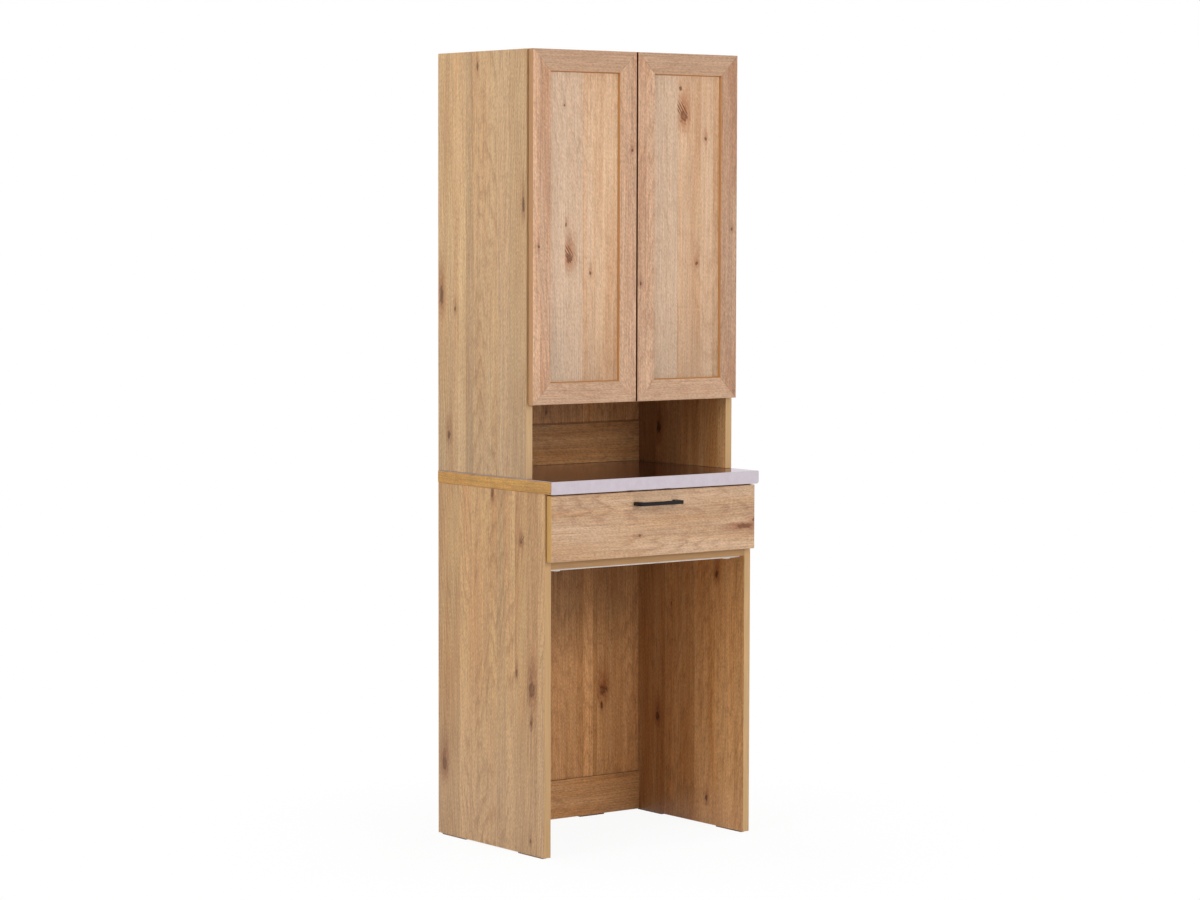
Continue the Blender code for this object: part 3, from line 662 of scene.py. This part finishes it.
oakBoards = {
    "upper left side": {
        "nodes": ["upper_side_left"],
        "decor": "upper", "figure": 1.3, "contrast": 0.85, "axes": "YZX", "width": (-116, 234),
        "planks": [(-116, 0.36, 0.1, 0.31, 0.15), (-53, 0.58, 0.2, 0.52, 0.5),
                   (-6, 0.5, 0.5, 0.44, 0.15), (91, 0.24, 0.9, 0.77, 0.1),
                   (121, 0.66, 0.95, 0.12, 0.1), (173, 0.46, 0.95, 0.62, 0)],
        "knots": [(75, 1795, 4, 3), (220, 1270, 7, 3.5), (165, 1240, 4, 1.6),
                  (190, 945, 6, 1.8), (-105, 1480, 5, 4)],
        # painted shade: the side grows darker towards the bottom
        "paintedShading": [(1450, 900, -0.36, 0)],
        "strips": [(0, "C8A377")],
        "seed": 0,
    },
    "upper right side": {
        "nodes": ["upper_side_right"],
        "decor": "wall", "axes": "YZX", "width": (-116, 234),
        # the planks grow darker and greyer towards the back, partly as painted shade on the niche wall's
        # shadowed rear
        "planks": [(-116, 0.75, 0.2, 0.2, 0.2), (-40, 0.6, 0.3, 0.6, 0.1), (60, 0.35, 0.55, 0.4, 0.6),
                   (150, 0.05, 0.8, 0.9, 0.6)],
        "knots": [(140, 945, 8, 2), (20, 1380, 7, 2)],
        "strips": [(0, "C59F6F")],
        "seed": 2.3,
    },
    "lower left side": {
        "nodes": ["lower_side_left"],
        "decor": "lower", "figure": 1.3, "contrast": 0.9, "axes": "YZX", "width": (-188, 234),
        "planks": [(-188, 0.58, 0.1, 0.9, 0.4), (-162, 0.36, 0.12, 0.7, 0.1), (-120, 0.34, 0.2, 0.25, 0.1),
                   (-74, 0.62, 0.4, 0.44, 0.2), (-39, 0.34, 0.42, 0.36, 0.3), (-3, 0.52, 0.48, 0.66, 0.1),
                   (85, 0.64, 0.7, 0.15, 0.2), (145, 0.3, 0.85, 0.58, 0)],
        "knots": [(15, 820, 5, 2.6), (-97, 715, 5.5, 1, 0.8), (-80, 415, 4.5, 2),
                  (-139, 382, 12, 1.7), (-138, 305, 5.5, 1.4), (208, 170, 11, 1.6),
                  (-135, 35, 4, 1.5)],
        # painted light: the side grows lighter and greyer towards the bottom, as the floor's bounced light
        # makes it
        "paintedShading": [(400, 100, 0.08, 0.8)],
        "strips": [(0, "C29A6B")],
        "seed": 4.1,
    },
    "lower right side": {
        "nodes": ["lower_side_right"],
        "decor": "wall", "axes": "YZX", "width": (-188, 234),
        # the planks grow darker towards the back, partly as painted shade on the bay wall's shadowed rear
        "planks": [(-188, 0.6, 0.2, 0.35, 0.4), (-155, 0.92, 0.3, 0.15, 0.5), (-99, 0.66, 0.4, 0.7, 0.2),
                   (-4, 0.36, 0.5, 0.2, 0.2), (85, 0.26, 0.6, 0.6, 0), (112, 0.02, 0.8, 0.5, 0)],
        "knots": [(-85, 605, 6, 1.8), (140, 240, 7, 1.8), (-50, 65, 5, 1.8),
                  (85, 520, 4, 1.5)],
        "strips": [(0, "C59F6F")],
        "seed": 6.7,
    },
    "door stile": {
        "nodes": ["left_door_outer_stile", "left_door_inner_stile",
                  "right_door_outer_stile", "right_door_inner_stile"],
        "decor": "stile", "axes": "XZY", "width": (-300, 300),
        "planks": [(-300, 0.66, 0.12, 0.15, 0.35), (-277, 0.34, 0.14, 0.42, 0),
                   (-60, 0.52, 0.4, 0.62, 0.3), (-30, 0.38, 0.42, 0.8, 0.05),
                   (0, 0.34, 0.6, 0.31, 0.05), (24, 0.52, 0.62, 0.5, 0.3), (200, 0.05, 0.92, 0.84, 0)],
        "knots": [(-280, 1385, 3.5, 1.2), (-15, 1605, 3.5, 1.2), (10, 1300, 3.5, 1.2),
                  (280, 1425, 3.5, 1.2)],
        # the doors' meeting edges, within 10 mm of the middle, are near black as painted shade in the gap
        # between them; the recess walls are darker than the outer edges, partly as painted shade
        "strips": [(0, "562A14"), (10, "AE7842"), (290, "B28458")],
        "seed": 8.2,
    },
    "door rail": {
        "nodes": ["left_door_top_rail", "left_door_bottom_rail",
                  "right_door_top_rail", "right_door_bottom_rail"],
        "decor": "stile", "figure": 0.6, "contrast": 0.8, "axes": "ZXY", "width": (1028, 1830),
        "planks": [(1028, 0.4, 0.3, 0.4, 0.5), (1400, 0.25, 0.7, 0.7, 0.6)],
        # the rails' edges have the recess walls' colour, darkened partly as painted shade
        "strips": [(0, "AE7842")],
        "seed": 9.6,
    },
    "door panel": {
        "nodes": ["left_door_panel", "right_door_panel"],
        "decor": "panel", "figure": 0.7, "contrast": 0.7, "axes": "XZY", "width": (-300, 300),
        "planks": [(-300, 0.6, 0.2, 0.35, 0.85), (-202, 0.55, 0.3, 0.55, 0.75),
                   (-154, 0.6, 0.4, 0.55, 0.2), (-117, 0.62, 0.42, 0.2, 0.05),
                   (-66, 0.45, 0.6, 0.6, 0), (0, 0.45, 0.5, 0.7, 0.75),
                   (121, 0.5, 0.56, 0.45, 0.15), (160, 0.45, 0.58, 0.45, 0.1),
                   (190, 0.52, 0.6, 0.1, 0.15), (226, 0.35, 0.7, 0.3, 0)],
        "knots": [(-190, 1360, 10, 1.2, 0.68), (-130, 1325, 3.5, 1.6), (-205, 1705, 2.5, 1.3),
                  (-200, 1435, 4, 1.3), (140, 1685, 12, 1.2, 0.68), (130, 1750, 4, 1.5),
                  (205, 1635, 4, 1.2), (180, 1345, 4.5, 1)],
        # painted shade: the panels grow darker towards their bottom
        "paintedShading": [(1280, 1080, -0.36, 0)],
        "seed": 11.3,
    },
    "drawer front": {
        "nodes": ["drawer_front"],
        "decor": "drawer", "figure": 1.3, "contrast": 0.9, "axes": "ZXY", "width": (677, 827),
        "planks": [(677, 0.46, 0.5, 0.33, 0.05)],
        "knots": [(725, -45, 3, 1.6), (732, 266, 6, 4.2), (745, 292, 5, 1)],
        "strips": [(0, "BE924F")],
        "upward": -1, "wander": 24, "seed": 13.4,
    },
    "lengthwise board": {
        "nodes": ["upper_top_board", "upper_bottom_board", "fixed_shelf", "adjustable_shelf", "drawer_deck"],
        "decor": "lower", "axes": "YXZ", "width": (-188, 234),
        "planks": [(-188, 0.5, 0.2, 0.4, 0.2), (-40, 0.35, 0.5, 0.7, 0.1), (110, 0.5, 0.8, 0.2, 0.3)],
        "knots": [(60, -120, 6, 2), (-60, 170, 5, 1.8)],
        # the edge strip's colour is darkened partly as painted shade, the drawer front's shadow on the
        # deck's front edge
        "strips": [(0, "AD8557")],
        "seed": 15.1,
    },
    "cross rail": {
        "nodes": ["upper_back_rail", "lower_back_rail", "lower_top_rail"],
        "decor": "back", "axes": "ZXY", "width": (0, 960),
        "planks": [(0, 0.38, 0.36, 0.4, 0.1), (480, 0.62, 0.65, 0.8, 0.2)],
        # the edge strip is dark brown as painted shade: it stands for the shadow line along each rail's top,
        # where it meets its panel
        "strips": [(0, "6E4623")],
        "wander": 14, "seed": 17.7,
    },
    "back panel": {
        "nodes": ["upper_back_panel", "lower_back_panel"],
        "decor": "back", "axes": "XZY", "width": (-290, 290),
        "planks": [(-290, 0.4, 0.3, 0.4, 0.2), (-150, 0.5, 0.4, 0.2, 0.1), (0, 0.44, 0.45, 0.9, 0.6),
                   (89, 0.34, 0.45, 0.6, 0.5), (113, 0.8, 0.55, 0.6, 0.3), (142, 0.22, 0.55, 0.25, 0),
                   (155, 0.34, 0.6, 0.3, 0.1), (234, 0.7, 0.8, 0.1, 0.5)],
        "knots": [(174, 305, 12, 1.1), (170, 268, 4, 2.6), (0, 985, 4, 1.5),
                  (-180, 430, 8, 2), (-120, 1500, 8, 2)],
        # painted shadow: a dark line along the top of the niche's back rail, where the rail shades the panel
        "paintedShadowLines": [(958.2, 2.2, 0.6)],
        # painted light and shade: the bay's panel grows darker towards its top, under the deck, and the
        # niche's panel above is lighter
        "paintedShading": [(0, 1, 0.14, 0), (370, 510, -0.56, 0), (860, 950, 1, 0)],
        "bareRear": True, "seed": 19.9,
    },
    "counter edge": {
        "nodes": ["counter_board"],
        "decor": "edge", "axes": "ZYX", "width": (830, 860),
        "planks": [(830, 0.5, 0.2, 0.4, 0.3)],
        "wander": 30, "seed": 21.5,
    },
}


for name, look in oakBoards.items():
    finish = oak("oak printed melamine " + name, look)
    for node in look["nodes"]:
        setFinish(node, finish)
print("oak finishes:", len(oakBoards))

# Metals, coats and plastics: the two shades of the surface, the size of its clouds or
# grain, the depth of its relief and how rough it is. A metal also has the width and length of
# its fine lines, and rim, the tint of what it mirrors at a glancing angle.

finishLooks = {
    # stainless sheet, cold rolled and lightly brushed along the counter: it mirrors softly
    # and its grey has faint clouds
    "satin stainless steel": {
        "shades": ("C4B8C1", "D6CCD3"), "grain": 24, "depth": 0.02, "roughness": (0.10, 0.16),
        "lines": (0.5, 40), "rim": "E4DFE4",
    },
    # steel pressed to shape and then zinc plated: a bluish grey with a soft spangle
    "bright zinc plated steel": {
        "shades": ("AEB4BA", "C6C9CC"), "grain": 6, "depth": 0.03, "roughness": (0.26, 0.36),
        "lines": (0.6, 6), "rim": "FFFFFF",
    },
    # sprayed as powder and baked, which leaves a fine orange-peel skin
    "black powder coat": {"shades": ("100C0C", "1B1616"), "grain": 0.8, "depth": 0.05, "roughness": 0.5,
                          "specular": 0.25},
    "white powder coat": {"shades": ("F4F3F0", "FAF9F7"), "grain": 0.8, "depth": 0.04, "roughness": 0.40},
    # injection moulded in a sparked mould, which leaves an even dull skin
    "moulded white ABS": {"shades": ("F6F5F2", "FBFAF8"), "grain": 0.5, "depth": 0.02, "roughness": 0.45},
    "moulded brown ABS": {"shades": ("6B5341", "7A604B"), "grain": 0.5, "depth": 0.03, "roughness": 0.55},
    # resin paper pressed on chipboard with a fine leathery texture
    "pressed white melamine": {
        "shades": ("DAD6CD", "E3E0D8"), "grain": 1.2, "depth": 0.05, "roughness": 0.48,
    },
    # cast polyurethane, soft and slightly milky, with a smooth skin
    "cast polyurethane": {"shades": ("C9CBC8", "D6D8D5"), "grain": 1.0, "depth": 0.01, "roughness": 0.30},
}

# shared by them all: the noises, between which of their values a metal's roughness changes,
# and how strong the relief is
relief = {
    "clouds": {"Detail": 3.0, "Roughness": 0.6},
    "lines": {"Scale": 1.0, "Detail": 2.0},
    "roughness": (0.3, 0.7),
    "strength": 0.3,
}


def makeFinish(name, look):
    made, add = newMaterial(name)
    place = add("TexCoord").outputs["Object"]
    values = {"Vector": place, "Scale": 1 / (look["grain"] * mm), **relief["clouds"]}
    height = cloud = add("TexNoise", values)
    low, high = [colour(code) for code in look["shades"]]
    shade = add("Mix", {"Factor": cloud, "A": low, "B": high}, data_type="RGBA")
    surface = {"Base Color": shade, "Roughness": look["roughness"],
               "Specular IOR Level": look.get("specular", 0.5)}
    if "lines" in look:
        start, end = relief["roughness"]
        low, high = look["roughness"]
        values = {"Value": cloud, "From Min": start, "From Max": end, "To Min": low, "To Max": high}
        surface["Roughness"] = add("MapRange", values)
        surface["Metallic"] = 1.0
        surface["Specular Tint"] = colour(look["rim"])
        wide, long = look["lines"]
        scale = tuple(1 / (side * mm) for side in (long, wide, wide))
        stretched = add("VectorMath MULTIPLY", [place, scale])
        height = add("TexNoise", {"Vector": stretched, **relief["lines"]})
    values = {"Strength": relief["strength"], "Distance": look["depth"] * mm, "Height": height}
    surface["Normal"] = add("Bump", values)
    shader = add("BsdfPrincipled", surface)
    add("OutputMaterial", {"Surface": shader})
    return made


finishes = {name: makeFinish(name, look) for name, look in finishLooks.items()}

# what the names of the nodes with each finish start with
plainFinishes = {
    "satin stainless steel": ("counter_steel",),
    "black powder coat": ("drawer_handle",),
    "white powder coat": ("deck_stiffener",),
    "moulded white ABS": ("stiffener_cap",),
    "moulded brown ABS": ("glide",),
    "bright zinc plated steel": ("hinge", "slide", "joint_plate", "shelf_pin"),
    "pressed white melamine": ("drawer_side", "drawer_back", "drawer_bottom"),
}
for finish, starts in plainFinishes.items():
    for name in nodes:
        if name.startswith(starts):
            setFinish(name, finishes[finish])
print("metal, coat and plastic finishes ready")


def addPiece(name, mesh, body, crease, replaced=()):
    # an edge that turns by more than crease, in degrees, stays sharp
    mesh.shade_smooth()
    mesh.set_sharp_from_angle(angle=math.radians(crease))
    piece = addObject(name, mesh)
    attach(piece, body)
    if replaced:
        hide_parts(*replaced)


def roundEdges(shape, edges, radius, steps):
    # a profile of 0.5 is a quarter circle
    bmesh.ops.bevel(
        shape, geom=edges, offset=radius * mm, segments=steps, profile=0.5,
        affect="EDGES", clamp_overlap=True,
    )


# Smooth copies of small rounded pieces. Each key starts the names of its nodes; with it go
# the angle in degrees above which an edge stays sharp and the extra rounding of such edges.

roundedPieces = {
    "drawer_handle": {"crease": 50, "rounding": 0.7},
    "hinge_cup": {"crease": 32},
    "hinge_arm": {"crease": 32},
    "shelf_pin": {"crease": 32},
    "stiffener_cap": {"crease": 40},
    "deck_stiffener": {"crease": 50, "rounding": 0.4},
    "glide": {"crease": 50},
    # the plate's outer face lies back by what its screw heads need
    "joint_plate": {"crease": 50, "back": 0.5},
    "slide": {"crease": 50, "rounding": 0.25},
}

# points nearer than merge are one, and faces that turn by less than flat, in degrees, are one
copying = {"merge": 0.01, "flat": 1, "roundingSteps": 3}


def roundedCopy(name, look):
    # the frame's triangles are loose, so they are merged first
    shape = bmesh.new()
    shape.from_mesh(nodes[name].data)
    bmesh.ops.remove_doubles(shape, verts=shape.verts, dist=copying["merge"] * mm)
    if "rounding" in look:
        flat = math.radians(copying["flat"])
        bmesh.ops.dissolve_limit(shape, angle_limit=flat, verts=shape.verts, edges=shape.edges)
        edges = [edge for edge in shape.edges if edge.calc_face_angle(0) > math.radians(look["crease"])]
        roundEdges(shape, edges, look["rounding"], copying["roundingSteps"])
    if "back" in look:
        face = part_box(name)[1].y
        for vertex in shape.verts:
            vertex.co.y = min(vertex.co.y, face - look["back"] * mm)
    places = [vertex.co[:] for vertex in shape.verts]
    faces = [[vertex.index for vertex in face.verts] for face in shape.faces]
    shape.free()
    mesh = bpy.data.meshes.new(name + "_smooth")
    mesh.from_pydata(places, [], faces)
    mesh.materials.append(nodes[name].data.materials[0])
    addPiece(name + "_smooth", mesh, nodes[name]["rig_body"], look["crease"], [name])


for start, look in roundedPieces.items():
    for name in [name for name in nodes if name.startswith(start)]:
        roundedCopy(name, look)
print("smooth copies made")

# Steel counter sheet: laid over the counter board and bent down over its front edge, with
# a return under it

sheetLook = {
    "thickness": 1.0,
    "bend": 2.5,
    "bendSteps": 10,
    "flat": 1.0,
    "returnDepth": 12.0,
    "cornerRadius": 4.0,
    "cornerSteps": 6,
    "endRounding": 0.3,
    "endSteps": 2,
    "crease": 40,
}


def sheetSection(look, lift):
    # the closed outline of the bent sheet, as (y, z) in mm, with its foot lifted
    low, high = [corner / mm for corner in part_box("counter_steel")]
    bend, steps, thick = look["bend"], look["bendSteps"], look["thickness"]
    turned = low.y + bend
    outer = [(high.y, high.z), (turned + look["flat"], high.z)]
    inner = [(y, z - thick) for y, z in outer]
    for middle, start in (((turned, high.z - bend), 90), ((turned, low.z + lift + bend), 180)):
        for i in range(steps + 1):
            angle = math.radians(start + 90 * i / steps)
            for points, radius in ((outer, bend), (inner, bend - thick)):
                points.append((middle[0] + radius * math.cos(angle), middle[1] + radius * math.sin(angle)))
    foot = (low.y + look["returnDepth"], low.z + lift)
    outer.append(foot)
    inner.append((foot[0], foot[1] + thick))
    return outer + inner[::-1]


def makeSheet(look):
    # the lower corners of its front are rounded, so the foot rises towards both ends
    low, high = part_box("counter_steel")
    radius, steps = look["cornerRadius"], look["cornerSteps"]
    corner = []
    for i in range(steps + 1):
        turn = math.radians(90 * i / steps)
        corner.append((radius * (1 - math.sin(turn)), radius * (1 - math.cos(turn))))
    stations = [(low.x + inset * mm, lift) for inset, lift in corner[::-1]]
    stations += [(high.x - inset * mm, lift) for inset, lift in corner]
    shape = bmesh.new()
    rings = []
    for x, lift in stations:
        rings.append([shape.verts.new((x, y * mm, z * mm)) for y, z in sheetSection(look, lift)])
    for ring, after in zip(rings, rings[1:]):
        for i in range(len(ring)):
            j = (i + 1) % len(ring)
            shape.faces.new((ring[i], ring[j], after[j], after[i]))
    shape.faces.new(rings[0][::-1])
    shape.faces.new(rings[-1])
    bmesh.ops.recalc_face_normals(shape, faces=shape.faces)
    ends = {*rings[0], *rings[-1]}
    rims = [edge for edge in shape.edges if ends.issuperset(edge.verts)]
    roundEdges(shape, rims, look["endRounding"], look["endSteps"])
    mesh = bpy.data.meshes.new("counter_sheet")
    shape.to_mesh(mesh)
    shape.free()
    mesh.materials.append(finishes["satin stainless steel"])
    addPiece("counter_sheet", mesh, "cabinet", look["crease"], ["counter_steel"])


makeSheet(sheetLook)
print("counter sheet made")

# Screws with a cross recess and soft door bumpers, set on their carriers by Geometry Nodes;
# sunk is how far one is let into its carrier

studLooks = {
    "screw": {
        "finish": "bright zinc plated steel", "slot": "zinc_steel", "sunk": 0.0,
        "sizes": {"Width": 6.6, "Height": 2.0, "Cross": 4.2, "Cross width": 1.0, "Cross depth": 1.3},
    },
    "flat_screw": {
        "finish": "bright zinc plated steel", "slot": "zinc_steel", "sunk": 0.5,
        "sizes": {"Width": 7.4, "Height": 0.5, "Cross": 4.4, "Cross width": 1.1, "Cross depth": 0.4},
    },
    "bumper": {
        "finish": "cast polyurethane", "slot": "white_plastic", "sunk": 0.0,
        "sizes": {"Width": 8.5, "Height": 2.1},
    },
}
studMesh = {"segments": 32, "rings": 16, "crease": 40}

# Where they are on the right, and mirrored on the left. On a hinge, behind is from the front
# of its arm and up from its middle; all else is in the cupboard's frame. A place may lie a
# little off its node, because a ray that starts rayReach outside it finds the face.
studSpots = {
    "plate": {"x": 281, "behind": 55.7, "up": (-21, 21)},
    "arm": {"x": 275, "behind": 29.7},
    "cup": {"x": 275.5, "y": -118, "up": (-22.05, 22.05)},
    "joint": {"x": 200, "aside": (-8, 8), "y": 235.9, "z": (822, 893)},
    "handle": {"x": 56, "y": -189.9, "z": 799},
    "bumper": {"x": 30, "y": -118.9, "z": {"bottom_rail": 1039, "top_rail": 1821}},
}
rayReach = 30.0

hingeLevels = [(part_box(name)[0].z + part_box(name)[1].z) / 2 / mm
               for name in ("hinge_cup_left_lower", "hinge_cup_left_upper")]


def studPlaces(plate, arm, cup, joint, handle, bumper):
    # {(kind, body): [(node, place in mm, direction it faces)]}
    found = []
    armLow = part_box("hinge_arm_left_lower")[0] / mm
    for side, word in ((-1, "left"), (1, "right")):
        door, inward, back = word + "_door", (-side, 0, 0), (0, 1, 0)
        for level, z in zip(("lower", "upper"), hingeLevels):
            armNode, cupNode = f"hinge_arm_{word}_{level}", f"hinge_cup_{word}_{level}"
            for plateUp, cupUp in zip(plate["up"], cup["up"]):
                place = (side * plate["x"], armLow.y + plate["behind"], z + plateUp)
                found.append(("screw", "cabinet", armNode, place, inward))
                found.append(("screw", door, cupNode, (side * cup["x"], cup["y"], z + cupUp), back))
            place = (side * arm["x"], armLow.y + arm["behind"], z)
            found.append(("screw", "cabinet", armNode, place, inward))
        for z in joint["z"]:
            for aside in joint["aside"]:
                place = (side * joint["x"] + aside, joint["y"], z)
                found.append(("flat_screw", "cabinet", f"joint_plate_{word}", place, back))
        place = (side * handle["x"], handle["y"], handle["z"])
        found.append(("screw", "drawer", "drawer_front", place, back))
        for rail, z in bumper["z"].items():
            place = (side * bumper["x"], bumper["y"], z)
            found.append(("bumper", door, f"{door}_{rail}", place, back))
    places = {}
    for kind, body, *place in found:
        places.setdefault((kind, body), []).append(place)
    return places


def studTree(kind, look):
    tree, add, given = newGroup(
        kind,
        "GeometryNodeTree",
        {"Geometry": ["Geometry"], "Float": look["sizes"]},
        {"Geometry": ["Geometry"]},
    )
    # the head is the upper half of a flattened ball
    values = {"Segments": studMesh["segments"], "Rings": studMesh["rings"], "Radius": 0.5}
    ball = add("GeometryNodeMeshUVSphere", values)
    tall = add("Math MULTIPLY", [given["Height"], 2.0])
    size = add("CombineXYZ", [given["Width"], given["Width"], tall])
    head = add("GeometryNodeTransform", {"Geometry": ball, "Scale": size})
    wide = add("Math MULTIPLY", [given["Width"], 2.0])
    lift = add("CombineXYZ", {2: given["Height"]})
    size = add("CombineXYZ", [wide, wide, tall])
    upper = add("GeometryNodeMeshCube", {"Size": size})
    upper = add("GeometryNodeTransform", {"Geometry": upper, "Translation": lift})
    head = add("GeometryNodeMeshBoolean INTERSECT", {"Mesh": [head, upper]})
    if "Cross" in look["sizes"]:
        # the cross is pressed in by two crossed bars
        deep = add("Math MULTIPLY", [given["Cross depth"], 2.0])
        bars = []
        for sides in (("Cross", "Cross width"), ("Cross width", "Cross")):
            size = add("CombineXYZ", [given[sides[0]], given[sides[1]], deep])
            bar = add("GeometryNodeMeshCube", {"Size": size})
            bars.append(add("GeometryNodeTransform", {"Geometry": bar, "Translation": lift}))
        head = add("GeometryNodeMeshBoolean DIFFERENCE", {"Mesh 1": head, "Mesh 2": bars})
    facing = add("GeometryNodeInputNamedAttribute", {"Name": "facing"}, data_type="FLOAT_VECTOR")
    turn = add("FunctionNodeAlignRotationToVector", {"Vector": facing}, axis="Z")
    values = {"Points": given["Geometry"], "Instance": head, "Rotation": turn}
    placed = add("GeometryNodeInstanceOnPoints", values)
    real = add("GeometryNodeRealizeInstances", {"Geometry": placed})
    painted = add("GeometryNodeSetMaterial", {"Geometry": real, "Material": finishes[look["finish"]]})
    add("NodeGroupOutput", {"Geometry": painted})
    return tree


def surfacePoint(name, place, facing, sunk):
    # where a ray from outside, running against the facing direction, meets the node
    mesh = nodes[name].data
    body = BVHTree.FromPolygons([v.co for v in mesh.vertices], [f.vertices for f in mesh.polygons])
    way = Vector(facing)
    start = (Vector(place) + way * rayReach) * mm
    return body.ray_cast(start, -way)[0] - way * sunk * mm


def makeStuds(kind, body, places):
    look, tree = studLooks[kind], studTrees[kind]
    points = [surfacePoint(*place, look["sunk"]) for place in places]
    source = bpy.data.meshes.new(f"{kind}_places")
    source.from_pydata(points, [], [])
    facing = source.attributes.new("facing", "FLOAT_VECTOR", "POINT")
    for item, (_, _, way) in zip(facing.data, places):
        item.vector = way
    holder = addObject(f"{kind}_holder", source)
    modifier = holder.modifiers.new(kind, "NODES")
    modifier.node_group = tree
    for item in tree.interface.items_tree:
        if item.name in look["sizes"]:
            modifier[item.identifier] = look["sizes"][item.name] * mm
    bpy.context.view_layer.update()
    made = holder.evaluated_get(bpy.context.evaluated_depsgraph_get())
    mesh = bpy.data.meshes.new_from_object(made)
    bpy.data.objects.remove(holder)
    addPiece(f"{kind}s_{body}", mesh, body, studMesh["crease"])
    print(f"{kind}s on {body}:", len(points), "of", len(mesh.polygons), "faces in all")


studTrees = {kind: studTree(kind, look) for kind, look in studLooks.items()}
for (kind, body), places in studPlaces(**studSpots).items():
    makeStuds(kind, body, places)
